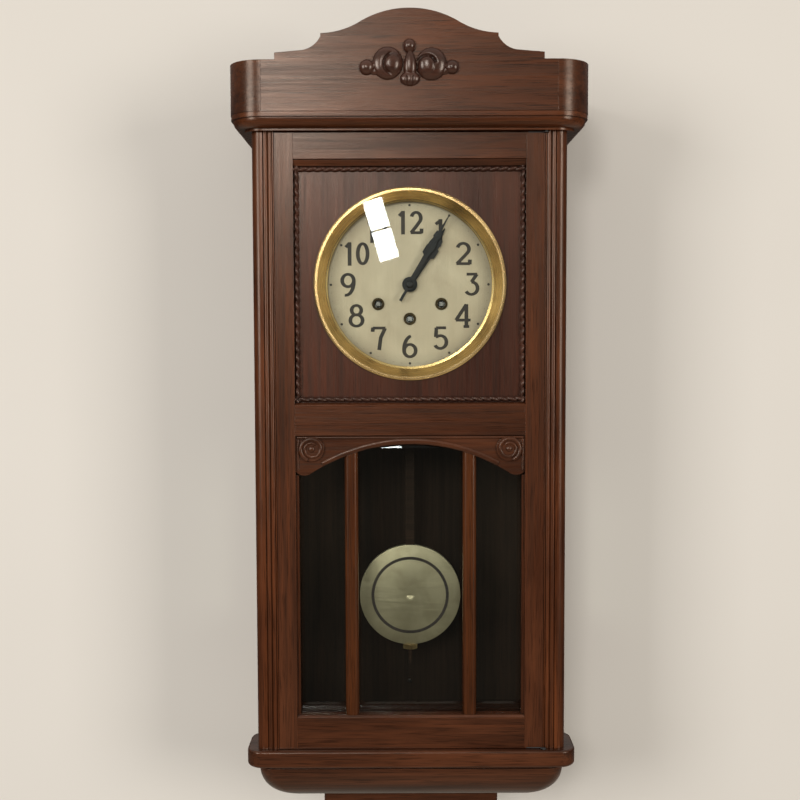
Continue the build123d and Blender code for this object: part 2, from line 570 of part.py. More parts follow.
with BuildPart() as movement_front_plate:
    block(-PLATE_HALF_X, PLATE_HALF_X, FRONT_PLATE_Y, FRONT_BACK, -PLATE_HALF_Z, PLATE_HALF_Z)
    fillet(movement_front_plate.edges().filter_by(Axis.Y), 6)
    for hole_x, hole_h, hole_r in (
            (0, 0, CENTRE_R + RUNNING), (THIRD_X, THIRD_H, PIVOT_R + RUNNING),
            (0, ESCAPE_H, PIVOT_R + RUNNING), (0, ANCHOR_H, PIVOT_R + RUNNING),
            (-WIND_X, WIND_H, WIND_R + RUNNING), (WIND_X, WIND_H, WIND_R + RUNNING),
            (0, TIME_H, WIND_R + RUNNING)):
        bar(hole_r, FRONT_PLATE_Y, FRONT_BACK, hole_x, hole_h, mode=Mode.SUBTRACT)
    for pillar_x in (-PILLAR_X, PILLAR_X):
        for pillar_h in (-PILLAR_H, PILLAR_H):
            bar(PILLAR_TENON_R, FRONT_PLATE_Y, FRONT_BACK, pillar_x, pillar_h, mode=Mode.SUBTRACT)
    bar(ARBOR_R, FRONT_PLATE_Y - 6, FRONT_PLATE_Y, MINUTE_X, MINUTE_H)
save(movement_front_plate, "movement_front_plate")

with BuildPart() as movement_back_plate:
    block(-PLATE_HALF_X, PLATE_HALF_X, BACK_PLATE_Y, BACK_BACK, -PLATE_HALF_Z, PLATE_HALF_Z)
    fillet(movement_back_plate.edges().filter_by(Axis.Y), 6)
    for side in (-1, 1):
        block(side * LUG_X, side * (LUG_X + 2), BACK_BACK, LUG_Y, LUG_H - 6, LUG_H + 6)
        with Locations(Location((side * (LUG_X + 1), HAMMER_Y, up(LUG_H)), (0, 90, 0))):
            Cylinder(HAMMER_R + RUNNING, 4, mode=Mode.SUBTRACT)
    for hole_x, hole_h, hole_r in (
            (0, 0, ARBOR_R + RUNNING), (THIRD_X, THIRD_H, PIVOT_R + RUNNING),
            (0, ESCAPE_H, PIVOT_R + RUNNING), (0, ANCHOR_H, CRUTCH_R + RUNNING),
            (-WIND_X, WIND_H, WIND_TAIL_R + RUNNING), (WIND_X, WIND_H, WIND_TAIL_R + RUNNING),
            (0, TIME_H, WIND_TAIL_R + RUNNING)):
        bar(hole_r, BACK_PLATE_Y, BACK_BACK, hole_x, hole_h, mode=Mode.SUBTRACT)
    for pillar_x in (-PILLAR_X, PILLAR_X):
        for pillar_h in (-PILLAR_H, PILLAR_H):
            bar(PILLAR_TENON_R, BACK_PLATE_Y, BACK_BACK, pillar_x, pillar_h, mode=Mode.SUBTRACT)
save(movement_back_plate, "movement_back_plate")

with BuildPart() as plate_pillars:
    for pillar_x in (-PILLAR_X, PILLAR_X):
        for pillar_h in (-PILLAR_H, PILLAR_H):
            bar(PILLAR_R, FRONT_BACK, BACK_PLATE_Y, pillar_x, pillar_h)
            bar(PILLAR_TENON_R, FRONT_PLATE_Y - 2, BACK_BACK + 2, pillar_x, pillar_h)
            bar(PILLAR_R, FRONT_PLATE_Y - 2, FRONT_PLATE_Y, pillar_x, pillar_h)
            bar(PILLAR_R, BACK_BACK, BACK_BACK + 2, pillar_x, pillar_h)
save(plate_pillars, "plate_pillars")

BRACKET_X0, BRACKET_X1, BRACKET_T = 42.0, 50.0, 3.0

with BuildPart() as movement_brackets:
    for side in (-1, 1):
        block(side * BRACKET_X0, side * BRACKET_X1, BACK_BACK, -BOARD_T,
              -PLATE_HALF_Z, -PLATE_HALF_Z + BRACKET_T)
        block(side * BRACKET_X0, side * BRACKET_X1, -BOARD_T - BRACKET_T, -BOARD_T,
              -PLATE_HALF_Z, -PLATE_HALF_Z + 26)
        block(side * BRACKET_X0, side * BRACKET_X1, BACK_BACK, BACK_BACK + BRACKET_T,
              -PLATE_HALF_Z, -PLATE_HALF_Z + 20)
save(movement_brackets, "movement_brackets")

# ---- Wheels -------------------------------------------------------------------------------
END_SHAKE = 0.1                        # play between an arbor's shoulders and the plates
INNER_FRONT, INNER_BACK = FRONT_BACK + END_SHAKE, BACK_PLATE_Y - END_SHAKE
TIP_GAP = 0.15                         # wheels are cut this much short of their pitch circles


def pitch_radii(wheel_teeth, pinion_leaves, distance):
    """Tip radii of a wheel and its pinion at this centre distance."""
    share = distance / (wheel_teeth + pinion_leaves)
    return wheel_teeth * share - TIP_GAP, pinion_leaves * share - TIP_GAP


def arbor(radius, x, height, pivot=PIVOT_R):
    """A wheel's arbor between the plates, with its two pivots."""
    bar(radius, INNER_FRONT, INNER_BACK, x, height)
    bar(pivot, FRONT_PLATE_Y, BACK_BACK, x, height)


GREAT_TEETH, CENTRE_LEAVES = 96, 8
CENTRE_TEETH, THIRD_LEAVES = 60, 10
THIRD_TEETH, ESCAPE_LEAVES = 56, 10
ESCAPE_TEETH, ESCAPE_R = 30, 13.5
CANNON_TEETH, MINUTE_TEETH = 12, 36
MINUTE_LEAVES, HOUR_TEETH = 10, 40
# Front and back faces of the wheels and pinions
CENTRE_WHEEL_Y, CENTRE_PINION_Y, CANNON_Y = (-131.0, -129.0), (-118.0, -112.0), (-139.6, -137.8)
THIRD_WHEEL_Y, THIRD_PINION_Y = (-106.0, -104.0), (-133.0, -127.0)
ESCAPE_WHEEL_Y, ESCAPE_PINION_Y = (-122.0, -120.6), (-108.0, -102.0)
MINUTE_WHEEL_Y, MINUTE_PINION_Y = (-139.4, -138.0), (-142.4, -139.4)
HOUR_WHEEL_Y = (-142.2, -140.8)

GREAT_R, CENTRE_PINION_R = pitch_radii(GREAT_TEETH, CENTRE_LEAVES, -TIME_H)
CENTRE_WHEEL_R, THIRD_PINION_R = pitch_radii(CENTRE_TEETH, THIRD_LEAVES, 24.0)
THIRD_WHEEL_R, ESCAPE_PINION_R = pitch_radii(THIRD_TEETH, ESCAPE_LEAVES, 24.37)
MINUTE_WHEEL_R, CANNON_R = pitch_radii(MINUTE_TEETH, CANNON_TEETH, 20.0)
HOUR_WHEEL_R, MINUTE_PINION_R = pitch_radii(HOUR_TEETH, MINUTE_LEAVES, 20.0)

with BuildPart() as centre_wheel:
    bar(ARBOR_R, INNER_BACK, BACK_BACK)
    bar(CENTRE_ARBOR_R, INNER_FRONT, INNER_BACK)
    bar(CENTRE_R, CENTRE_TIP, INNER_FRONT)
    crossed_wheel(CENTRE_TEETH, CENTRE_WHEEL_R, *CENTRE_WHEEL_Y, 0, 0)
    crossed_wheel(CENTRE_LEAVES, CENTRE_PINION_R, *CENTRE_PINION_Y, 0, 0, crossings=0)
    crossed_wheel(CANNON_TEETH, CANNON_R, *CANNON_Y, 0, 0, crossings=0)
save(centre_wheel, "centre_wheel")

with BuildPart() as third_wheel:
    arbor(ARBOR_R, THIRD_X, THIRD_H)
    crossed_wheel(THIRD_LEAVES, THIRD_PINION_R, *THIRD_PINION_Y, THIRD_X, THIRD_H, crossings=0)
    crossed_wheel(THIRD_TEETH, THIRD_WHEEL_R, *THIRD_WHEEL_Y, THIRD_X, THIRD_H)
save(third_wheel, "third_wheel")

with BuildPart() as escape_wheel:
    arbor(ARBOR_R, 0, ESCAPE_H)
    crossed_wheel(ESCAPE_LEAVES, ESCAPE_PINION_R, *ESCAPE_PINION_Y, 0, ESCAPE_H, crossings=0)
    crossed_wheel(ESCAPE_TEETH, ESCAPE_R, *ESCAPE_WHEEL_Y, 0, ESCAPE_H)
save(escape_wheel, "escape_wheel")

with BuildPart() as minute_wheel:
    crossed_wheel(MINUTE_TEETH, MINUTE_WHEEL_R, *MINUTE_WHEEL_Y, MINUTE_X, MINUTE_H)
    crossed_wheel(MINUTE_LEAVES, MINUTE_PINION_R, *MINUTE_PINION_Y, MINUTE_X, MINUTE_H,
                  crossings=0)
    bar(ARBOR_R + RUNNING, -143, -137, MINUTE_X, MINUTE_H, mode=Mode.SUBTRACT)
save(minute_wheel, "minute_wheel")

with BuildPart() as hour_wheel:
    crossed_wheel(HOUR_TEETH, HOUR_WHEEL_R, *HOUR_WHEEL_Y, 0, 0)
    bar(PIPE_R, HOUR_Y - HAND_T, HOUR_WHEEL_Y[1])
    bar(CENTRE_R + RUNNING, HOUR_Y - HAND_T - 1, -140, mode=Mode.SUBTRACT)
save(hour_wheel, "hour_wheel")

# ---- Spring barrels and winding arbors ---------------------------------------------------
BARREL_BORE = WIND_R + RUNNING
TIME_DRUM_R, SIDE_DRUM_R, SIDE_FLANGE_R = 22.0, 18.0, 20.0
TIME_DRUM_Y, GREAT_Y = (-114.0, -97.0), (-116.0, -114.0)
SIDE_DRUM_Y, SIDE_FLANGE_Y = (-133.0, -119.0), (-119.0, -117.0)
RATCHET_TEETH, RATCHET_R, RATCHET_Y = 24, 8.0, (-139.8, -137.8)
SIDE_TEETH = 72
WIND_FRONT, SQUARE_L = -141.0, 8.5

with BuildPart() as time_barrel:
    bar(TIME_DRUM_R, *TIME_DRUM_Y, 0, TIME_H)
    crossed_wheel(GREAT_TEETH, GREAT_R, *GREAT_Y, 0, TIME_H, crossings=0)
    bar(BARREL_BORE, -120, -90, 0, TIME_H, mode=Mode.SUBTRACT)
save(time_barrel, "time_barrel")

with BuildPart() as strike_chime_barrels:
    for side in (-1, 1):
        bar(SIDE_DRUM_R, *SIDE_DRUM_Y, side * WIND_X, WIND_H)
        crossed_wheel(SIDE_TEETH, SIDE_FLANGE_R, *SIDE_FLANGE_Y, side * WIND_X, WIND_H,
                      crossings=0)
        bar(BARREL_BORE, -140, -110, side * WIND_X, WIND_H, mode=Mode.SUBTRACT)
save(strike_chime_barrels, "strike_chime_barrels")

for train, wind_x, wind_h in WINDING:
    with BuildPart() as winding_arbor:
        bar(WIND_R, WIND_FRONT, INNER_BACK, wind_x, wind_h)
        bar(WIND_TAIL_R, INNER_BACK, BACK_BACK, wind_x, wind_h)
        crossed_wheel(RATCHET_TEETH, RATCHET_R, *RATCHET_Y, wind_x, wind_h, crossings=0)
        with BuildSketch(facing(WIND_FRONT)):
            with Locations((wind_x, up(wind_h))):
                Rectangle(SQUARE, SQUARE)
        extrude(amount=SQUARE_L)
    save(winding_arbor, f"winding_arbor_{train}")

# ---- Anchor and crutch -------------------------------------------------------------------
PALLET_Y0, PALLET_Y1 = -122.6, -120.0
PALLET_OUT, PALLET_DROP = 15.6, 13.0
CRUTCH_Y0, CRUTCH_Y1, CRUTCH_FOOT = -90.0, -88.4, 4.0
FORK_X, FORK_T = ROD_W / 2 + 0.4, 1.6

with BuildPart() as anchor:
    bar(ARBOR_R, INNER_FRONT, INNER_BACK, 0, ANCHOR_H)
    bar(PIVOT_R, FRONT_PLATE_Y, INNER_FRONT, 0, ANCHOR_H)
    bar(CRUTCH_R, INNER_BACK, -87.5, 0, ANCHOR_H)
    with BuildSketch(facing(PALLET_Y1)):
        with BuildLine():
            Polyline((0, up(ANCHOR_H + 4)), (PALLET_OUT, up(ANCHOR_H - 6)),
                     (PALLET_OUT + 1.5, up(ANCHOR_H - PALLET_DROP)),
                     (PALLET_OUT - 0.4, up(ANCHOR_H - PALLET_DROP)),
                     (PALLET_OUT - 2, up(ANCHOR_H - 7)), (0, up(ANCHOR_H - 3.2)))
            mirror(about=Plane.YZ)
        make_face()
    extrude(amount=PALLET_Y1 - PALLET_Y0)
    block(-2, 2, CRUTCH_Y0, CRUTCH_Y1, CRUTCH_FOOT - 3, ANCHOR_H)
    block(-FORK_X - FORK_T, FORK_X + FORK_T, CRUTCH_Y0, CRUTCH_Y1, CRUTCH_FOOT - 3, CRUTCH_FOOT + 3)
    for side in (-1, 1):
        block(side * FORK_X, side * (FORK_X + FORK_T), CRUTCH_Y1, ROD_Y + 4,
              CRUTCH_FOOT - 3, CRUTCH_FOOT + 3)
save(anchor, "anchor")

# ---- Suspension and pendulum -------------------------------------------------------------
COCK_X, COCK_FOOT, COCK_TOP = 6.0, 57.5, 68.0
SPRING_TOP, SPRING_FOOT = 57.0, 40.0
SPRING_T, SPRING_W = 0.5, 6.0

with BuildPart() as suspension_cock:
    block(-COCK_X * 2, COCK_X * 2, BACK_BACK, BACK_BACK + 2, COCK_FOOT + 0.5, COCK_TOP)
    for side in (-1, 1):
        block(side * 2.6, side * COCK_X, BACK_BACK + 2, ROD_Y + 5, COCK_FOOT, COCK_TOP)
    block(-2.6, 2.6, ROD_Y - 3, ROD_Y + 3, COCK_FOOT, COCK_TOP - 2)
save(suspension_cock, "suspension_cock")

HOOK_FOOT = 30.0                       # the pendulum hangs from here

with BuildPart() as suspension_spring:
    block(-SPRING_T / 2, SPRING_T / 2, ROD_Y - SPRING_W / 2, ROD_Y + SPRING_W / 2,
          SPRING_FOOT, SPRING_TOP)
    block(-3, 3, ROD_Y - 3.5, ROD_Y + 3.5, HOOK_FOOT, SPRING_FOOT)
save(suspension_spring, "suspension_spring")

ROD_FOOT, THREAD_FOOT, THREAD_R = -392.0, -424.0, 1.9
BOB_SLOT_FOOT = -398.5

with BuildPart() as pendulum_rod:
    block(-ROD_W / 2, ROD_W / 2, ROD_Y - ROD_T / 2, ROD_Y + ROD_T / 2, ROD_FOOT, HOOK_FOOT)
    with Locations((0, ROD_Y, up((ROD_FOOT + THREAD_FOOT) / 2))):
        Cylinder(THREAD_R, ROD_FOOT - THREAD_FOOT)
save(pendulum_rod, "pendulum_rod")

BOB_FACE = (BOB_T - BOB_RIM_T) / 2     # height of the spherical dome on each face
DOME_R = (BOB_R ** 2 + BOB_FACE ** 2) / (2 * BOB_FACE)
BOB_MID_Y = BOB_T / 2 - DOME_R + sqrt(DOME_R ** 2 - (BOB_R / 2) ** 2)
GROOVE_R, GROOVE_W = 0.74 * BOB_R, 1.6

with BuildPart() as pendulum_bob:
    with BuildSketch(Plane(origin=(0, ROD_Y, up(BOB_H)), x_dir=(1, 0, 0), z_dir=(0, 0, 1))):
        with BuildLine():
            Line((0, -BOB_T / 2), (0, BOB_T / 2))
            ThreePointArc((0, BOB_T / 2), (BOB_R / 2, BOB_MID_Y), (BOB_R, BOB_RIM_T / 2))
            Line((BOB_R, BOB_RIM_T / 2), (BOB_R, -BOB_RIM_T / 2))
            ThreePointArc((BOB_R, -BOB_RIM_T / 2), (BOB_R / 2, -BOB_MID_Y), (0, -BOB_T / 2))
        make_face()
        with Locations((GROOVE_R, -BOB_T / 2 + 0.5 * BOB_FACE)):
            Rectangle(GROOVE_W, 2.4, mode=Mode.SUBTRACT)
    revolve(axis=Axis((0, ROD_Y, up(BOB_H)), (0, 1, 0)))
    block(-ROD_W / 2 - 0.1, ROD_W / 2 + 0.1, ROD_Y - ROD_T / 2 - 0.1, ROD_Y + ROD_T / 2 + 0.1,
          BOB_SLOT_FOOT, BOB_H + BOB_R + 1, mode=Mode.SUBTRACT)
    with Locations((0, ROD_Y, up(BOB_SLOT_FOOT - 3))):
        Cylinder(THREAD_R + 0.3, 10, mode=Mode.SUBTRACT)
save(pendulum_bob, "pendulum_bob")

RATING_R, RATING_T = 8.0, 5.0
RATING_TOP = BOB_H - BOB_R - 0.1

with BuildPart() as rating_nut:
    with BuildSketch(Plane(origin=(0, ROD_Y, up(RATING_TOP - RATING_T)), z_dir=(0, 0, 1))):
        toothed(28, RATING_R, 0.6)
        Circle(THREAD_R + RUNNING, mode=Mode.SUBTRACT)
    extrude(amount=RATING_T)
save(rating_nut, "rating_nut")

# ---- Chime: rods in their block, and the hammers -----------------------------------------
CHIME_STEP, CHIME_COUNT = 12.0, 5
CHIME_R, CHIME_Y, CHIME_TOP = 1.5, -26.0, 76.0
BLOCK_FOOT, BLOCK_TOP, BLOCK_FRONT = 70.0, 86.0, -30.0
CHIME_XS = [CHIME_STEP * (place - (CHIME_COUNT - 1) / 2) for place in range(CHIME_COUNT)]
CHIME_FEET = [-120.0 + 15.0 * place for place in range(CHIME_COUNT)]
HAMMER_HEAD_R, HAMMER_H = 4.5, 56.0

with BuildPart() as gong_block:
    block(-34, 34, BLOCK_FRONT, -BOARD_T, BLOCK_FOOT, BLOCK_TOP)
    chamfer(gong_block.edges().filter_by(Axis.Z), 1.5)
    for rod_x in CHIME_XS:
        with Locations((rod_x, CHIME_Y, up((BLOCK_FOOT + CHIME_TOP) / 2))):
            Cylinder(CHIME_R, CHIME_TOP - BLOCK_FOOT, mode=Mode.SUBTRACT)
save(gong_block, "gong_block")

with BuildPart() as gong_rods:
    for rod_x, rod_foot in zip(CHIME_XS, CHIME_FEET):
        with Locations((rod_x, CHIME_Y, up((rod_foot + CHIME_TOP) / 2))):
            Cylinder(CHIME_R, CHIME_TOP - rod_foot)
save(gong_rods, "gong_rods")

HEAD_FRONT, HEAD_BACK = -40.0, CHIME_Y - CHIME_R - 1.0

with BuildPart() as hammers:
    with Locations(Location((0, HAMMER_Y, up(LUG_H)), (0, 90, 0))):
        Cylinder(HAMMER_R, 2 * LUG_X + 6)
    for rod_x in CHIME_XS:
        with BuildSketch(across(rod_x - 1)):
            Polygon((HAMMER_Y, up(LUG_H - 1.5)), (HAMMER_Y, up(LUG_H + 1.5)),
                    (HEAD_FRONT + 3, up(HAMMER_H + 1.5)), (HEAD_FRONT + 3, up(HAMMER_H - 1.5)),
                    align=None)
        extrude(amount=2)
        bar(HAMMER_HEAD_R, HEAD_FRONT, HEAD_BACK, rod_x, HAMMER_H)
save(hammers, "hammers")
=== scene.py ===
"""The finished look of the pendulum wall clock: materials, carving, dial figures, light and camera."""
import math

import bpy
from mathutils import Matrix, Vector


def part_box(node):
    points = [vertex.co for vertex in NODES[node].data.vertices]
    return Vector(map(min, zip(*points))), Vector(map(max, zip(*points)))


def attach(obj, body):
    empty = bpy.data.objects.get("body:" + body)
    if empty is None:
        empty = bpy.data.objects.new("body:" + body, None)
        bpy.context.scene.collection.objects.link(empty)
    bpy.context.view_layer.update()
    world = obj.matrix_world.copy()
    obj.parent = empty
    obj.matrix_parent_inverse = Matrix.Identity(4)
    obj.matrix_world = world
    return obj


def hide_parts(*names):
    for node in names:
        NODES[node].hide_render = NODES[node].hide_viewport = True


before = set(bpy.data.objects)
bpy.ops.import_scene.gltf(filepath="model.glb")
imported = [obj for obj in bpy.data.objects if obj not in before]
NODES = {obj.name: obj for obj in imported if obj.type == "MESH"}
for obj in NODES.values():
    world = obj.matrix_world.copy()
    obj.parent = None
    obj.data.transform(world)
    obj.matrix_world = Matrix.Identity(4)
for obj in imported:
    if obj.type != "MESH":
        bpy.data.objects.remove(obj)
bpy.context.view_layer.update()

MM = 0.001
dial_low, dial_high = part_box("dial_bezel")
DIAL = (dial_low + dial_high) / 2


def place(x, y, height):
    """A point in millimetres, its height counted from the dial's centre, as a point of the frame."""
    return Vector((x * MM, y * MM, DIAL.z + height * MM))


# ---------------------------------------------------------------- shader helpers

def blank_material(name):
    """A new material with an empty node tree."""
    material = bpy.data.materials.new(name)
    material.use_nodes = True
    material.node_tree.nodes.clear()
    return material


def shader(tree, kind, inputs=None, **settings):
    """Adds a node; an input given as a socket is linked, and any other value is set on the socket."""
    item = tree.nodes.new(kind)
    for key, value in settings.items():
        setattr(item, key, value)
    for key, value in (inputs or {}).items():
        if isinstance(value, bpy.types.NodeSocket):
            tree.links.new(value, item.inputs[key])
        else:
            item.inputs[key].default_value = value
    return item


def ramp(tree, factor, stops, interpolation="LINEAR"):
    """A colour ramp; stops are (position, grey) or (position, (r, g, b))."""
    item = shader(tree, "ShaderNodeValToRGB", {"Fac": factor})
    item.color_ramp.interpolation = interpolation
    elements = item.color_ramp.elements
    while len(elements) < len(stops):
        elements.new(0.5)
    for element, (position, colour) in zip(elements, stops):
        element.position = position
        rgb = colour if isinstance(colour, tuple) else (colour, colour, colour)
        element.color = (*rgb, 1.0)
    return item.outputs["Color"]


def coordinates(tree, scale, shift=(0.0, 0.0, 0.0)):
    """Object coordinates in metres, stretched by scale."""
    source = shader(tree, "ShaderNodeTexCoord")
    mapping = shader(tree, "ShaderNodeMapping", {
        "Vector": source.outputs["Object"], "Scale": scale, "Location": shift})
    return mapping.outputs["Vector"]


def noise(tree, vector, scale=1.0, detail=4.0, roughness=0.55, distortion=0.0):
    """Noise between 0 and 1."""
    return shader(tree, "ShaderNodeTexNoise", {
        "Vector": vector, "Scale": scale, "Detail": detail,
        "Roughness": roughness, "Distortion": distortion}).outputs["Fac"]


def mixed(tree, factor, first, second, blend="MIX"):
    """Two colours mixed; the numbered sockets are the colour ones of the node."""
    item = shader(tree, "ShaderNodeMix", data_type="RGBA", blend_type=blend)
    for socket, value in ((item.inputs[0], factor), (item.inputs[6], first), (item.inputs[7], second)):
        if isinstance(value, bpy.types.NodeSocket):
            tree.links.new(value, socket)
        else:
            socket.default_value = value
    return item.outputs[2]


def output(tree, surface):
    """Ends a material's tree."""
    shader(tree, "ShaderNodeOutputMaterial", {"Surface": surface})


AXES = {"x": 0, "y": 1, "z": 2}


def along(axis, lengthwise, across):
    """Texture scales that run slowly along the grain and fast across it."""
    scale = [across, across, across]
    scale[AXES[axis]] = lengthwise
    return tuple(scale)


def oak(name, grain, light, dark, shift=(0.0, 0.0, 0.0), gloss=0.20, sheen=0.10, pores=0.85):
    """Stained oak: growth rings, open pores along the grain, worn polish, and darkening in the corners
    that is part dirt, part painted shade.
    """
    material = blank_material(name)
    tree = material.node_tree
    broad = noise(tree, coordinates(tree, along(grain, 2.2, 26.0), shift), 1.0, 5.0, 0.6, 0.7)
    rings = noise(tree, coordinates(tree, along(grain, 5.0, 210.0), shift), 1.0, 4.0, 0.62, 0.5)
    fine = noise(tree, coordinates(tree, along(grain, 26.0, 1150.0), shift), 1.0, 3.0, 0.6)
    blotch = noise(tree, coordinates(tree, (7.0, 7.0, 7.0), shift), 1.0, 3.0, 0.5)
    mid = tuple((a + b) / 2 for a, b in zip(light, dark))
    colour = ramp(tree, broad, [(0.30, dark), (0.50, mid), (0.72, light)])
    ringed = ramp(tree, rings, [(0.34, 0.52), (0.52, 0.92), (0.70, 1.16)])
    colour = mixed(tree, 0.85, colour, ringed, "MULTIPLY")
    pored = ramp(tree, fine, [(0.36, 0.30), (0.47, 1.0)])
    colour = mixed(tree, pores, colour, pored, "MULTIPLY")
    patchy = ramp(tree, blotch, [(0.32, 0.72), (0.66, 1.12)])
    colour = mixed(tree, 0.7, colour, patchy, "MULTIPLY")
    # painted shade: ambient occlusion darkens the colour in corners, creases and recesses, where shade
    # falls; it also stands for dirt there
    corner_grime_and_shade = shader(tree, "ShaderNodeAmbientOcclusion", {"Distance": 0.006}, samples=6)
    grime_and_shade_tone = ramp(tree, corner_grime_and_shade.outputs["AO"], [(0.25, 0.28), (0.80, 1.0)])
    colour = mixed(tree, 0.8, colour, grime_and_shade_tone, "MULTIPLY")
    rough = ramp(tree, rings, [(0.30, gloss + 0.14), (0.70, gloss)])
    edges = shader(tree, "ShaderNodeBevel", {"Radius": 0.0009}, samples=4)
    relief = shader(tree, "ShaderNodeBump", {
        "Height": fine, "Strength": 0.16, "Distance": 0.0006, "Normal": edges.outputs["Normal"]})
    wavy = shader(tree, "ShaderNodeBump", {
        "Height": broad, "Strength": 0.10, "Distance": 0.002, "Normal": relief.outputs["Normal"]})
    wood = shader(tree, "ShaderNodeBsdfPrincipled", {
        "Base Color": colour, "Roughness": rough, "Normal": wavy.outputs["Normal"],
        "Specular IOR Level": 0.34, "Specular Tint": (1.0, 0.80, 0.64, 1.0), "Coat Weight": sheen,
        "Coat Roughness": 0.20})
    output(tree, wood.outputs["BSDF"])
    return material


def metal(name, base, worn, rough, scale=(60.0, 60.0, 60.0), metallic=1.0, bump=0.05):
    """Metal with tarnish and fine marks; scale sets the direction of the marks."""
    material = blank_material(name)
    tree = material.node_tree
    marks = noise(tree, coordinates(tree, scale), 1.0, 5.0, 0.6)
    tarnish = noise(tree, coordinates(tree, (38.0, 38.0, 38.0)), 1.0, 4.0, 0.6, 0.4)
    colour = mixed(tree, ramp(tree, tarnish, [(0.38, 0.0), (0.70, 1.0)]), (*base, 1.0), (*worn, 1.0))
    edges = shader(tree, "ShaderNodeBevel", {"Radius": 0.0004}, samples=4)
    relief = shader(tree, "ShaderNodeBump", {
        "Height": marks, "Strength": bump, "Distance": 0.0004, "Normal": edges.outputs["Normal"]})
    body = shader(tree, "ShaderNodeBsdfPrincipled", {
        "Base Color": colour, "Metallic": metallic, "Normal": relief.outputs["Normal"],
        "Roughness": ramp(tree, marks, [(0.30, rough), (0.72, rough + 0.16)])})
    output(tree, body.outputs["BSDF"])
    return material


def turned_metal(name, base, worn, rough, turns=900.0, centre=None):
    """Metal brushed in circles about the fore-and-aft line through centre."""
    material = blank_material(name)
    tree = material.node_tree
    middle = centre or DIAL
    moved = coordinates(tree, (1.0, 0.0, 1.0), (-middle.x, 0.0, -middle.z))
    radius = shader(tree, "ShaderNodeVectorMath", {0: moved}, operation="LENGTH").outputs["Value"]
    line = shader(tree, "ShaderNodeCombineXYZ", {"X": radius})
    fine = shader(tree, "ShaderNodeTexNoise", {
        "Vector": line.outputs["Vector"], "Scale": turns, "Detail": 3.0, "Roughness": 0.6}).outputs["Fac"]
    tarnish = noise(tree, coordinates(tree, (26.0, 26.0, 26.0)), 1.0, 4.0, 0.6, 0.4)
    colour = mixed(tree, ramp(tree, tarnish, [(0.35, 0.0), (0.70, 1.0)]), (*base, 1.0), (*worn, 1.0))
    relief = shader(tree, "ShaderNodeBump", {"Height": fine, "Strength": 0.10, "Distance": 0.0004})
    body = shader(tree, "ShaderNodeBsdfPrincipled", {
        "Base Color": colour, "Metallic": 1.0, "Normal": relief.outputs["Normal"],
        "Roughness": ramp(tree, fine, [(0.30, rough), (0.70, rough + 0.10)])})
    output(tree, body.outputs["BSDF"])
    return material


# share of light a glass face mirrors, against one minus the cosine of the slant
MIRRORED = [(0.0, 0.040), (0.40, 0.050), (0.60, 0.115), (0.75, 0.27), (0.88, 0.55), (1.0, 1.0)]


def glass(name, tint):
    """Thin clear glass: what is behind shows through, and light is mirrored more at glancing angles."""
    material = blank_material(name)
    tree = material.node_tree
    smear = noise(tree, coordinates(tree, (14.0, 14.0, 9.0)), 1.0, 4.0, 0.6, 0.6)
    through = shader(tree, "ShaderNodeBsdfTransparent", {
        "Color": ramp(tree, smear, [(0.30, tint), (0.75, tuple(min(1.0, c * 1.04) for c in tint))])})
    mirror = shader(tree, "ShaderNodeBsdfGlossy", {
        "Color": (0.95, 0.97, 0.96, 1.0), "Roughness": ramp(tree, smear, [(0.40, 0.012), (0.80, 0.05)])})
    aslant = shader(tree, "ShaderNodeLayerWeight", {"Blend": 0.5}).outputs["Facing"]
    both = shader(tree, "ShaderNodeMixShader", {
        0: ramp(tree, aslant, MIRRORED), 1: through.outputs["BSDF"], 2: mirror.outputs["BSDF"]})
    output(tree, both.outputs["Shader"])
    return material


def silvered(name, base, worn):
    """The silvered dial: fine upright brushing, warm with age, a little darker towards the edge, where
    shade under the bezel is painted in.
    """
    material = blank_material(name)
    tree = material.node_tree
    brushed = noise(tree, coordinates(tree, (2600.0, 300.0, 26.0)), 1.0, 3.0, 0.6)
    age = noise(tree, coordinates(tree, (22.0, 22.0, 14.0)), 1.0, 5.0, 0.6, 0.6)
    moved = coordinates(tree, (1.0, 0.0, 1.0), (-DIAL.x, 0.0, -DIAL.z))
    radius = shader(tree, "ShaderNodeVectorMath", {0: moved}, operation="LENGTH").outputs["Value"]
    # painted shade: the colour darkens towards the edge of the dial, under the bezel
    rim_shade = ramp(tree, shader(tree, "ShaderNodeMapRange", {
        "Value": radius, "From Min": 0.0, "From Max": 0.09}).outputs["Result"],
        [(0.0, 1.0), (0.80, 0.97), (0.97, 0.72)])
    colour = mixed(tree, ramp(tree, age, [(0.35, 0.0), (0.72, 1.0)]), (*base, 1.0), (*worn, 1.0))
    colour = mixed(tree, 1.0, colour, rim_shade, "MULTIPLY")
    colour = mixed(tree, 0.6, colour, ramp(tree, brushed, [(0.30, 0.86), (0.70, 1.08)]), "MULTIPLY")
    relief = shader(tree, "ShaderNodeBump", {"Height": brushed, "Strength": 0.06, "Distance": 0.0003})
    body = shader(tree, "ShaderNodeBsdfPrincipled", {
        "Base Color": colour, "Metallic": 0.25, "Normal": relief.outputs["Normal"],
        "Roughness": ramp(tree, brushed, [(0.30, 0.40), (0.70, 0.52)])})
    output(tree, body.outputs["BSDF"])
    return material


# ---------------------------------------------------------------- the clock's finishes

LIGHT_OAK = (0.112, 0.036, 0.0150)
DARK_OAK = (0.030, 0.0080, 0.0032)
RED_LIGHT = (0.150, 0.044, 0.0150)
RED_DARK = (0.042, 0.0105, 0.0035)
PANEL_LIGHT = (0.088, 0.029, 0.0160)
PANEL_DARK = (0.032, 0.0095, 0.0060)

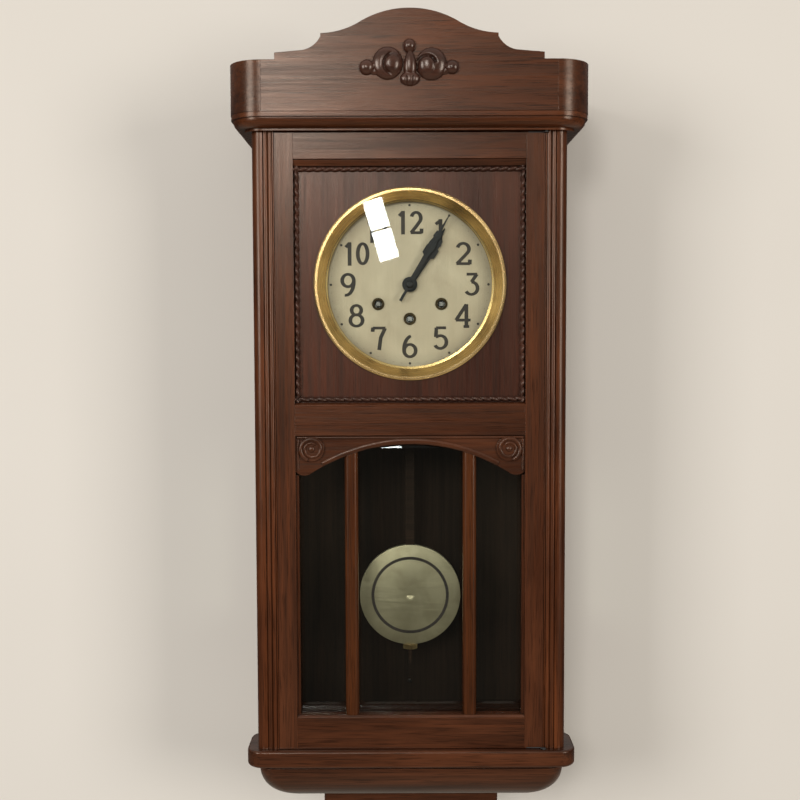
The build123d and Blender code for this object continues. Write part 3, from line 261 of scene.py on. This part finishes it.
MATERIALS = {
    "crest_oak": oak("crest_oak", "x", LIGHT_OAK, DARK_OAK, (0.3, 0.1, 0.2), 0.20, 0.10, 1.0),
    "frieze_oak": oak("frieze_oak", "x", LIGHT_OAK, DARK_OAK, (0.7, 0.4, 0.9)),
    "rail_oak": oak("rail_oak", "x", LIGHT_OAK, DARK_OAK, (1.7, 0.8, 0.5)),
    "stile_oak": oak("stile_oak", "z", LIGHT_OAK, DARK_OAK, (2.1, 1.4, 0.3)),
    "post_oak": oak("post_oak", "z", RED_LIGHT, RED_DARK, (3.3, 0.2, 0.6)),
    "side_oak": oak("side_oak", "z", LIGHT_OAK, DARK_OAK, (4.0, 2.0, 0.1), 0.36, 0.05),
    "red_oak": oak("red_oak", "x", RED_LIGHT, RED_DARK, (5.2, 1.1, 0.8)),
    "muntin_oak": oak("muntin_oak", "z", (0.110, 0.032, 0.009), (0.042, 0.011, 0.0035), (6.4, 0.7, 0.4)),
    "panel_oak": oak("panel_oak", "z", PANEL_LIGHT, PANEL_DARK, (7.3, 0.5, 1.2), 0.22, 0.14, 0.55),
    "carved_oak": oak("carved_oak", "x", LIGHT_OAK, DARK_OAK, (8.5, 0.6, 0.2), 0.22, 0.15, 0.5),
    "crest_carved": oak("crest_carved", "x", (0.120, 0.046, 0.028), (0.040, 0.014, 0.009),
                        (1.1, 3.0, 0.7),
                        0.18, 0.4, 0.45),
    "rope_oak": oak("rope_oak", "x", (0.085, 0.030, 0.018), (0.024, 0.009, 0.006),
                    (9.1, 0.9, 0.6), 0.24, 0.2, 0.4),
    # painted shade: the backboard's oak is several times darker than the case's, standing for the shade
    # inside the case
    "back_oak_shaded": oak("back_oak_shaded", "z", (0.024, 0.010, 0.0050), (0.008, 0.0033, 0.0018),
                    (2.7, 5.0, 0.8), 0.6, 0.0),
    "inner_wood": oak("inner_wood", "x", (0.040, 0.018, 0.010), (0.016, 0.007, 0.004),
                      (1.9, 6.0, 0.3), 0.6, 0.0),
    "clear_glass": glass("clear_glass", (0.90, 0.92, 0.90)),
    "smoked_glass": glass("smoked_glass", (0.55, 0.57, 0.54)),
    "bezel_brass": turned_metal("bezel_brass", (0.88, 0.62, 0.27), (0.58, 0.38, 0.16), 0.22),
    "brass": metal("brass", (0.66, 0.49, 0.22), (0.40, 0.27, 0.11), 0.26),
    "dull_brass": metal("dull_brass", (0.42, 0.31, 0.14), (0.20, 0.13, 0.06), 0.40),
    "bronze": metal("bronze", (0.085, 0.060, 0.030), (0.040, 0.028, 0.016), 0.35),
    "silvered_dial": silvered("silvered_dial", (0.72, 0.61, 0.45), (0.57, 0.46, 0.33)),
    "bob_silver": metal("bob_silver", (0.62, 0.55, 0.37),
                        (0.46, 0.40, 0.26), 0.32, (30.0, 30.0, 900.0), 0.85),
    "black_steel": metal("black_steel", (0.020, 0.020, 0.022),
                         (0.035, 0.030, 0.028), 0.30, metallic=0.4),
    "steel": metal("steel", (0.42, 0.42, 0.42), (0.24, 0.22, 0.20), 0.32),
    "gong_steel": metal("gong_steel", (0.22, 0.22, 0.24), (0.12, 0.11, 0.11), 0.30),
    "cast_iron": metal("cast_iron", (0.06, 0.06, 0.06),
                       (0.03, 0.025, 0.02), 0.55, metallic=0.6, bump=0.3),
    "figure_paint": metal("figure_paint", (0.030, 0.022, 0.018),
                          (0.055, 0.040, 0.030), 0.45, metallic=0.0),
}

FINISHES = {
    "crest_panel": "crest_oak",
    "crest_carving": "crest_carved",
    "gallery_board": "frieze_oak",
    "cornice_moulding": "red_oak",
    "top_board": "side_oak",
    "base_moulding": "rail_oak",
    "base_belly": "frieze_oak",
    "base_console": "rail_oak",
    "backboard": "back_oak_shaded",
    "side_panel_left": "side_oak",
    "side_panel_right": "side_oak",
    "side_glass_left": "smoked_glass",
    "side_glass_right": "smoked_glass",
    "front_post_left": "post_oak",
    "front_post_right": "post_oak",
    "door_stile_left": "stile_oak",
    "door_stile_right": "stile_oak",
    "door_top_rail": "rail_oak",
    "door_middle_rail": "rail_oak",
    "door_bottom_rail": "rail_oak",
    "dial_panel": "panel_oak",
    "rope_moulding": "rope_oak",
    "spandrel_board": "carved_oak",
    "muntins": "muntin_oak",
    "glass_left": "clear_glass",
    "glass_centre": "clear_glass",
    "glass_right": "clear_glass",
    "dial_glass": "clear_glass",
    "dial_bezel": "bezel_brass",
    "door_pivots": "cast_iron",
    "dial_plate": "silvered_dial",
    "winding_grommets": "bronze",
    "hour_hand": "black_steel",
    "minute_hand": "black_steel",
    "hand_nut": "black_steel",
    "hour_wheel": "brass",
    "minute_wheel": "brass",
    "centre_wheel": "brass",
    "third_wheel": "brass",
    "escape_wheel": "brass",
    "time_barrel": "brass",
    "strike_chime_barrels": "brass",
    "movement_front_plate": "brass",
    "movement_back_plate": "brass",
    "plate_pillars": "brass",
    "movement_brackets": "cast_iron",
    "gong_block": "cast_iron",
    "gong_rods": "gong_steel",
    "hanger_plate": "cast_iron",
    "hanger_screws": "steel",
    "suspension_cock": "dull_brass",
    "suspension_spring": "steel",
    "anchor": "steel",
    "winding_arbor_strike": "steel",
    "winding_arbor_time": "steel",
    "winding_arbor_chime": "steel",
    "hammers": "dull_brass",
    "pendulum_rod": "inner_wood",
    "pendulum_bob": "bob_silver",
    "rating_nut": "dull_brass",
}

for node_name, node_object in NODES.items():
    finish = MATERIALS[FINISHES[node_name]]
    if not node_object.material_slots:
        node_object.data.materials.append(finish)
    for material_slot in node_object.material_slots:
        material_slot.link = "OBJECT"
        material_slot.material = finish


# ---------------------------------------------------------------- mesh helpers

SMOOTH_BELOW = math.radians(38)


def build(name, vertices, faces, material, body):
    """A mesh piece from points in the frame, finished, slotted and riding on its body."""
    mesh = bpy.data.meshes.new(name)
    mesh.from_pydata([tuple(v) for v in vertices], [], faces)
    mesh.polygons.foreach_set("use_smooth", [True] * len(mesh.polygons))
    mesh.set_sharp_from_angle(angle=SMOOTH_BELOW)
    mesh.materials.append(MATERIALS[material])
    piece = bpy.data.objects.new(name, mesh)
    bpy.context.scene.collection.objects.link(piece)
    bpy.context.view_layer.update()
    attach(piece, body)
    return piece


class Shape:
    """Collects points and faces of one piece."""

    def __init__(self):
        self.points = []
        self.faces = []

    def ring(self, points):
        start = len(self.points)
        self.points.extend(points)
        return list(range(start, len(self.points)))

    def skin(self, first, second, closed=True):
        """Faces between two rings of the same length."""
        count = len(first)
        for i in range(count if closed else count - 1):
            j = (i + 1) % count
            self.faces.append((first[i], first[j], second[j], second[i]))

    def stack(self, rings, caps=True):
        for first, second in zip(rings, rings[1:]):
            self.skin(first, second)
        if caps:
            self.faces.append(tuple(reversed(rings[0])))
            self.faces.append(tuple(rings[-1]))


def stroke(shape, path, width, back, front, nib=1.0, closed=False):
    """A pen stroke standing between two depths; a nib under 1 thins what runs sideways."""
    count = len(path)
    rings = []
    for i, (x, h) in enumerate(path):
        before = path[i - 1] if i or closed else path[i]
        after = path[(i + 1) % count] if i + 1 < count or closed else path[i]
        run = (after[0] - before[0], after[1] - before[1])
        length = math.hypot(*run) or 1.0
        side = (-run[1] / length * width / 2, run[0] / length * width / 2 * nib)
        corners = ((1, back), (1, front), (-1, front), (-1, back))
        rings.append(shape.ring([place(x + s * side[0], y, h + s * side[1]) for s, y in corners]))
    if closed:
        shape.stack(rings + [rings[0]], caps=False)
    else:
        shape.stack(rings)


def arc(cx, cy, rx, ry, start, end, steps=14):
    """Points of an elliptical arc; angles in degrees, counted from the right, upwards."""
    out = []
    for i in range(steps + 1):
        angle = math.radians(start + (end - start) * i / steps)
        out.append((cx + rx * math.cos(angle), cy + ry * math.sin(angle)))
    return out


# ---------------------------------------------------------------- dial figures

FIGURE_HEIGHT = 25.0
FIGURE_WIDTH = 17.0
PEN = 4.0
FIGURE_RADIUS = 65.0
FIGURE_PITCH = 13.8        # between the two figures of ten, eleven and twelve
PAIR_NARROW = 0.80         # how much narrower those figures are
NIB = 0.74                 # how thin a stroke that runs sideways is, against an upright one
STROKE_LIFT = 0.012        # each further stroke of a figure stands this much prouder

# every figure is drawn in a box from (-0.5, -0.5) to (0.5, 0.5); each entry is one stroke
FIGURES = {
    "0": [arc(0, 0, 0.38, 0.42, 0, 360, 28)],
    "1": [[(-0.30, 0.27), (-0.02, 0.42)], [(0.0, 0.48), (0.0, -0.5)]],
    "2": [arc(0, 0.18, 0.36, 0.24, 165, -25, 14) + [(0.10, -0.10), (-0.28, -0.36), (-0.40, -0.43)],
          [(-0.42, -0.43), (0.42, -0.43)], [(0.40, -0.46), (0.42, -0.26)]],
    "3": [[(-0.30, 0.43), (0.36, 0.43)], [(0.34, 0.43), (0.0, 0.10)],
          [(0.0, 0.10)] + arc(0.0, -0.16, 0.38, 0.26, 78, -150, 18)],
    "4": [[(0.20, 0.46), (-0.44, -0.20)], [(-0.46, -0.20), (0.46, -0.20)],
          [(0.20, 0.47), (0.20, -0.47)], [(0.02, -0.47), (0.38, -0.47)]],
    "5": [[(0.34, 0.43), (-0.28, 0.43)], [(-0.26, 0.44), (-0.30, 0.04)],
          [(-0.30, 0.04)] + arc(-0.02, -0.17, 0.38, 0.27, 118, -150, 20)],
    "6": [arc(0.0, -0.18, 0.36, 0.26, 0, 360, 26), arc(0.14, -0.14, 0.50, 0.58, 98, 182, 12)],
    "7": [[(-0.40, 0.43), (0.40, 0.43)], [(-0.38, 0.45), (-0.40, 0.27)],
          [(0.38, 0.42), (0.10, 0.02), (0.0, -0.5)]],
    "8": [arc(0.0, 0.23, 0.30, 0.20, 0, 360, 24), arc(0.0, -0.20, 0.38, 0.24, 0, 360, 26)],
    "9": [arc(0.0, 0.18, 0.36, 0.26, 0, 360, 26), arc(-0.14, 0.14, 0.50, 0.58, -98, 2, 12)],
}
# the strokes that close on themselves, as (figure, number of the stroke)
CLOSED = {("0", 0), ("6", 0), ("8", 0), ("8", 1), ("9", 0)}
dial_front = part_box("dial_plate")[0].y / MM
PAINT_BACK = dial_front + 0.2
PAINT_FRONT = dial_front - 0.22

numerals = Shape()
for hour in range(1, 13):
    turn = math.radians(hour * 30)
    middle_x, middle_h = FIGURE_RADIUS * math.sin(turn), FIGURE_RADIUS * math.cos(turn)
    digits = str(hour)
    for index, digit in enumerate(digits):
        offset = (index - (len(digits) - 1) / 2) * FIGURE_PITCH
        narrow = PAIR_NARROW if len(digits) > 1 else 1.0
        for number, path in enumerate(FIGURES[digit]):
            drawn = [(middle_x + offset + u * FIGURE_WIDTH * narrow, middle_h + v * FIGURE_HEIGHT)
                     for u, v in path]
            looped = (digit, number) in CLOSED
            lift = STROKE_LIFT * number
            stroke(numerals, drawn[:-1] if looped else drawn, PEN, PAINT_BACK, PAINT_FRONT - lift,
                   NIB, looped)
build("numerals", numerals.points, numerals.faces, "figure_paint", "case")

MARK_RADIUS = 83.0
MARK_SIDES = 10
HOUR_MARK, MINUTE_MARK = 1.35, 0.34        # their radii
marks = Shape()
for minute in range(60):
    turn = math.radians(minute * 6)
    size = HOUR_MARK if minute % 5 == 0 else MINUTE_MARK
    centre_x, centre_h = MARK_RADIUS * math.sin(turn), MARK_RADIUS * math.cos(turn)
    rings = []
    for y in (PAINT_BACK, PAINT_FRONT):
        rings.append(marks.ring([
            place(centre_x + size * math.cos(k * math.tau / MARK_SIDES), y,
                  centre_h + size * math.sin(k * math.tau / MARK_SIDES)) for k in range(MARK_SIDES)]))
    marks.stack(rings)
build("minute_marks", marks.points, marks.faces, "figure_paint", "case")


# ---------------------------------------------------------------- the black ring on the bob

bob_low, bob_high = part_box("pendulum_bob")
bob_middle = (bob_low + bob_high) / 2
BOB_HEIGHT = (bob_middle.z - DIAL.z) / MM
RING_RADIUS = 41.8
RING_HALF = 1.6
RING_SIDES = 96
RING_DEPTH = 1.6
BOB_FACE_DROP = 2.10       # how much further back the domed face is at the ring than at its middle
ring_y = bob_low.y / MM + BOB_FACE_DROP
bob_ring = Shape()
ring_rows = []
for ring_radius, ring_depth in ((RING_RADIUS - RING_HALF, RING_DEPTH), (RING_RADIUS - RING_HALF, 0.0),
                                (RING_RADIUS + RING_HALF, 0.0), (RING_RADIUS + RING_HALF, RING_DEPTH)):
    ring_rows.append(bob_ring.ring([
        place(ring_radius * math.cos(k * math.tau / RING_SIDES), ring_y + ring_depth,
              BOB_HEIGHT + ring_radius * math.sin(k * math.tau / RING_SIDES))
        for k in range(RING_SIDES)]))
bob_ring.stack(ring_rows + [ring_rows[0]], caps=False)
build("bob_ring", bob_ring.points, bob_ring.faces, "figure_paint", "bob")


# ---------------------------------------------------------------- rope moulding round the dial panel

ROPE_WIDTH = 6.0
ROPE_PITCH = 9.0
ROPE_STEP = 0.55
ROPE_BACK = -164.6
ROPE_RISE = 5.2
ROPE_SIDES = 10            # faces round the half section
ROPE_LEAN = 0.8            # how far a strand runs on as it crosses the rope, in pitches
ROPE_CORE = 0.52           # radius of the grooves between strands, against the full radius
ROPE_ROUND = 0.6           # under 1, the strands are plump
rope_low, rope_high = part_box("rope_moulding")


def rope_run(shape, start, end, inward):
    """A straight length of twisted rope in half relief, from start to end (x, height)."""
    length = math.hypot(end[0] - start[0], end[1] - start[1])
    step = ((end[0] - start[0]) / length, (end[1] - start[1]) / length)
    count = int(length / ROPE_STEP)
    rings = []
    for i in range(count + 1):
        travelled = length * i / count
        ring = []
        for k in range(ROPE_SIDES + 1):
            angle = math.pi * k / ROPE_SIDES
            twist = travelled / ROPE_PITCH + angle / math.pi * ROPE_LEAN
            strand = abs(math.sin(math.pi * twist)) ** ROPE_ROUND
            radius = ROPE_CORE + 0.48 * strand
            across = -math.cos(angle) * ROPE_WIDTH / 2 * radius + ROPE_WIDTH / 2
            rise = math.sin(angle) * ROPE_RISE * radius
            x = start[0] + step[0] * travelled + inward[0] * across
            height = start[1] + step[1] * travelled + inward[1] * across
            ring.append(place(x, ROPE_BACK - rise, height))
        rings.append(shape.ring(ring))
    shape.stack(rings)


rope = Shape()
left, right = rope_low.x / MM, rope_high.x / MM
bottom, top = (rope_low.z - DIAL.z) / MM, (rope_high.z - DIAL.z) / MM
rope_run(rope, (left, top), (right, top), (0, -1))
rope_run(rope, (left, bottom), (right, bottom), (0, 1))
rope_run(rope, (left, bottom), (left, top), (1, 0))
rope_run(rope, (right, bottom), (right, top), (-1, 0))
rope_piece = build("rope_relief", rope.points, rope.faces, "rope_oak", "door")
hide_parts("rope_moulding")


# ---------------------------------------------------------------- crest carving

def dome(x, h, cx, ch, rx, rh, rise, power=2.4):
    """Height at a point of a rounded boss over an ellipse; nothing outside it."""
    distance = math.hypot((x - cx) / rx, (h - ch) / rh)
    return rise * (1 - distance ** power) ** 0.5 if distance < 1 else 0.0


def groove(x, h, cx, ch, radius, width, depth, start, end):
    """Depth of a curved cut at a point; it runs between two angles in degrees and fades at its ends."""
    angle = math.degrees(math.atan2(h - ch, x - cx))
    while angle < start:
        angle += 360
    if angle > end:
        return 0.0
    fade = min(1.0, (angle - start) / 22, (end - angle) / 22)
    offset = (math.hypot(x - cx, h - ch) - radius) / width
    return depth * fade * math.exp(-offset * offset)


def crest_relief(x, h):
    """Height of the carving above its ground: beads, two curled lobes, the stem and the shell below."""
    lobe_left = dome(x, h, -22.0, 220.0, 15.5, 16.5, 6.2)
    lobe_left += dome(x, h, -17.5, 219.0, 8.6, 10.5, 1.6)
    lobe_left -= groove(x, h, -15.5, 219.0, 10.2, 1.5, 3.4, 95, 262)
    lobe_right = dome(x, h, 22.0, 219.0, 15.5, 16.5, 6.2)
    lobe_right += dome(x, h, 17.0, 217.5, 8.0, 10.5, 1.6)
    lobe_right -= groove(x, h, 17.0, 217.0, 9.6, 1.5, 3.4, 5, 205)
    stem = dome(x, h, 0.5, 219.0, 6.6 - 0.10 * (h - 219.0), 14.0, 5.2)
    shell = dome(x, h, 0.5, 204.6, 10.4, 7.4, 5.0)
    shell -= 1.5 * math.exp(-(((abs(x - 0.5) - 3.2) / 0.9) ** 2)) if shell > 1.5 and h < 207 else 0.0
    beads = max(
        dome(x, h, -43.0, 216.0, 7.8, 7.8, 6.0, 2.0),
        dome(x, h, 43.0, 216.0, 7.2, 7.2, 5.6, 2.0),
        dome(x, h, 0.0, 237.0, 6.8, 7.2, 6.4, 2.0))
    web = max(dome(x, h, -34.0, 212.0, 6.0, 4.0, 2.2), dome(x, h, 35.0, 212.5, 6.0, 4.0, 2.2))
    return max(lobe_left, lobe_right, stem, shell, beads, web)


CREST_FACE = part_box("crest_panel")[0].y / MM
RELIEF_STEP = 0.7
RELIEF_SINK = 0.5          # how far the edge of a carving is sunk into its board


def relief_grid(shape, x0, x1, h0, h1, ground, rise_at):
    """A carved field: a net of points kept only where the carving rises above its ground."""
    columns, rows = int((x1 - x0) / RELIEF_STEP), int((h1 - h0) / RELIEF_STEP)
    index = {}
    rises = {}
    for i in range(columns + 1):
        for j in range(rows + 1):
            rises[i, j] = rise_at(x0 + i * RELIEF_STEP, h0 + j * RELIEF_STEP)
    for i in range(columns):
        for j in range(rows):
            corners = ((i, j), (i + 1, j), (i + 1, j + 1), (i, j + 1))
            if max(rises[c] for c in corners) <= 0:
                continue
            for corner in corners:
                if corner not in index:
                    proud = rises[corner] + RELIEF_SINK if rises[corner] > 0 else 0
                    depth = ground + RELIEF_SINK - proud
                    point = place(x0 + corner[0] * RELIEF_STEP, depth, h0 + corner[1] * RELIEF_STEP)
                    index[corner] = shape.ring([point])[0]
            shape.faces.append(tuple(index[c] for c in corners))


crest = Shape()
relief_grid(crest, -54.0, 54.0, 194.0, 248.0, CREST_FACE, crest_relief)
crest_piece = build("crest_relief", crest.points, crest.faces, "crest_carved", "case")
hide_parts("crest_carving")


# ---------------------------------------------------------------- carving under the middle rail

def swept(shape, path, half_width, back, rise, sections=8):
    """A rounded moulding laid along a path of (x, height, size) on the board's face."""
    rings = []
    count = len(path)
    for i, (x, h, size) in enumerate(path):
        before, after = path[max(i - 1, 0)], path[min(i + 1, count - 1)]
        run = (after[0] - before[0], after[1] - before[1])
        length = math.hypot(*run) or 1.0
        side = (-run[1] / length, run[0] / length)
        ring = []
        for k in range(sections + 1):
            angle = math.pi * k / sections
            across = math.cos(angle) * half_width * size
            ring.append(place(x + side[0] * across, back - math.sin(angle) * rise * size,
                              h + side[1] * across))
        rings.append(shape.ring(ring))
    shape.stack(rings)


SCROLL_X = 103.0
SCROLL_H = -171.5
BOARD_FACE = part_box("muntins")[0].y / MM
ARCH_CROWN, ARCH_FOOT, ARCH_HALF = -166.6, -198.0, 105.0
RIBBON_UP, RIBBON_END = 3.6, 92.0
scroll_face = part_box("spandrel_board")[0].y / MM
spandrel = Shape()
for hand in (-1, 1):
    volute = []
    for step in range(61):
        part = step / 60
        angle = math.radians(250 - 560 * part)
        radius = 12.2 - 6.4 * part
        volute.append((hand * (SCROLL_X - radius * math.cos(angle)), SCROLL_H + radius * math.sin(angle),
                       1.0 - 0.35 * part))
    swept(spandrel, volute, 2.3, scroll_face + 0.4, 2.2)
    button = []
    for ring_radius, ring_rise in ((3.4, -0.4), (3.2, 0.6), (2.4, 1.3), (1.2, 1.7), (0.1, 1.8)):
        button.append(spandrel.ring([
            place(hand * SCROLL_X + ring_radius * math.cos(k * math.tau / 20), scroll_face - ring_rise,
                  SCROLL_H + ring_radius * math.sin(k * math.tau / 20)) for k in range(20)]))
    spandrel.stack(button)
    cornerpost = [(hand * 117.2, -160.0 - 34.0 * k / 20, 0.8) for k in range(21)]
    swept(spandrel, cornerpost, 1.9, BOARD_FACE + 0.3, 1.6)
ribbon = []
for step in range(-60, 61):
    across = RIBBON_END * step / 60
    arch = ARCH_CROWN - (ARCH_CROWN - ARCH_FOOT) * (across / ARCH_HALF) ** 2
    ribbon.append((across, arch + RIBBON_UP, 1.0))
swept(spandrel, ribbon, RIBBON_UP - 0.6, BOARD_FACE + 0.3, 1.7)
top_bead = [(-118.0 + 236.0 * k / 60, -159.6, 1.0) for k in range(61)]
swept(spandrel, top_bead, 1.7, BOARD_FACE + 0.3, 2.2)
build("spandrel_carving", spandrel.points, spandrel.faces, "carved_oak", "door")


# ---------------------------------------------------------------- wall, light and camera

def wall_material():
    """Pale mottled plaster, clear from behind."""
    material = blank_material("plaster_wall")
    tree = material.node_tree
    mottled = noise(tree, coordinates(tree, (1.1, 1.1, 1.1)), 1.0, 4.0, 0.5)
    matt = shader(tree, "ShaderNodeBsdfDiffuse", {
        "Color": ramp(tree, mottled, [(0.3, (0.66, 0.625, 0.575)), (0.7, (0.70, 0.665, 0.615))])})
    clear = shader(tree, "ShaderNodeBsdfTransparent")
    facing = shader(tree, "ShaderNodeNewGeometry")
    both = shader(tree, "ShaderNodeMixShader", {
        0: facing.outputs["Backfacing"], 1: matt.outputs["BSDF"], 2: clear.outputs["BSDF"]})
    output(tree, both.outputs["Shader"])
    return material


WALL_HALF = 4.0
WALL_GAP = 0.004
wall_mesh = bpy.data.meshes.new("room_wall")
wall_mesh.from_pydata(
    [(-WALL_HALF, WALL_GAP, -WALL_HALF), (WALL_HALF, WALL_GAP, -WALL_HALF),
     (WALL_HALF, WALL_GAP, WALL_HALF), (-WALL_HALF, WALL_GAP, WALL_HALF)], [], [(0, 1, 2, 3)])
wall_mesh.materials.append(wall_material())
wall = bpy.data.objects.new("room_wall", wall_mesh)
bpy.context.scene.collection.objects.link(wall)
wall.visible_diffuse = False
wall.visible_glossy = False
wall.visible_transmission = False
wall.visible_shadow = False


def area_light(name, location, target, width, height, power, colour, roll=0.0):
    """A rectangular light aimed at a point, turned by roll about its own aim."""
    data = bpy.data.lights.new(name, "AREA")
    data.shape = "RECTANGLE"
    data.size = width
    data.size_y = height
    data.energy = power
    data.color = colour
    lamp = bpy.data.objects.new(name, data)
    lamp.location = location
    aim = (Vector(target) - Vector(location)).to_track_quat("-Z", "Y")
    lamp.rotation_mode = "QUATERNION"
    lamp.rotation_quaternion = aim
    if roll:
        lamp.rotation_mode = "XYZ"
        lamp.rotation_euler.rotate_axis("Z", roll)
    bpy.context.scene.collection.objects.link(lamp)


area_light("tall_window", (-3.0, -3.2, 0.5), (0.0, 0.0, -0.3), 1.5, 1.8, 90.0, (1.0, 0.98, 0.95))
area_light("far_window", (3.1, -3.2, 0.2), (0.0, 0.0, -0.3), 1.5, 1.8, 85.0, (1.0, 0.96, 0.90))
area_light("sheen_window", (-0.78, -4.2, 0.98), (-0.1, 0.0, 0.05), 0.8, 0.9, 44.0, (1.0, 0.97, 0.94))
PANE_TILT = math.radians(16.5)
for pane_name, pane_rise in (("window_pane_upper", 0.066), ("window_pane_lower", -0.066)):
    area_light(pane_name, (-0.092 - pane_rise * math.tan(PANE_TILT), -4.0, DIAL.z + 0.385 + pane_rise),
               (-0.04, -0.167, DIAL.z + 0.06), 0.085, 0.128, 0.9, (1.0, 1.0, 1.0), PANE_TILT)
area_light("lamp_bar", (-0.071, -4.15, 0.65), (-0.0245, -0.157, -0.28), 0.13, 0.16, 1.5, (1.0, 1.0, 1.0))

# the room, by height: light floor, dark level band, light ceiling
world = bpy.data.worlds.new("room")
world.use_nodes = True
world.node_tree.nodes.clear()
world_tree = world.node_tree
direction = shader(world_tree, "ShaderNodeTexCoord").outputs["Generated"]
split = shader(world_tree, "ShaderNodeSeparateXYZ", {"Vector": direction})
height_share = shader(world_tree, "ShaderNodeMapRange", {
    "Value": split.outputs["Z"], "From Min": -1.0, "From Max": 1.0})
room = ramp(world_tree, height_share.outputs["Result"], [
    (0.0, (0.42, 0.38, 0.31)), (0.22, (0.34, 0.31, 0.26)),
    (0.34, (0.055, 0.050, 0.043)), (0.58, (0.050, 0.047, 0.043)),
    (0.68, (0.46, 0.44, 0.41)), (1.0, (0.72, 0.70, 0.67))])
background = shader(world_tree, "ShaderNodeBackground", {"Color": room, "Strength": 1.0})
shader(world_tree, "ShaderNodeOutputWorld", {"Surface": background.outputs["Background"]})
bpy.context.scene.world = world
bpy.context.scene.view_settings.view_transform = "Standard"

CAMERA_LENS, SENSOR_WIDTH = 52.0, 36.0
CAMERA_PITCH, CAMERA_LEAN = -3.5, 0.19     # degrees, from level and from upright

camera_data = bpy.data.cameras.new("camera")
camera_data.lens = CAMERA_LENS
camera_data.sensor_width = SENSOR_WIDTH
camera = bpy.data.objects.new("camera", camera_data)
camera.location = (-0.0104, -1.370, -0.162)
camera.rotation_euler = (math.radians(90 + CAMERA_PITCH), math.radians(CAMERA_LEAN), 0.0)
bpy.context.scene.collection.objects.link(camera)
bpy.context.scene.camera = camera
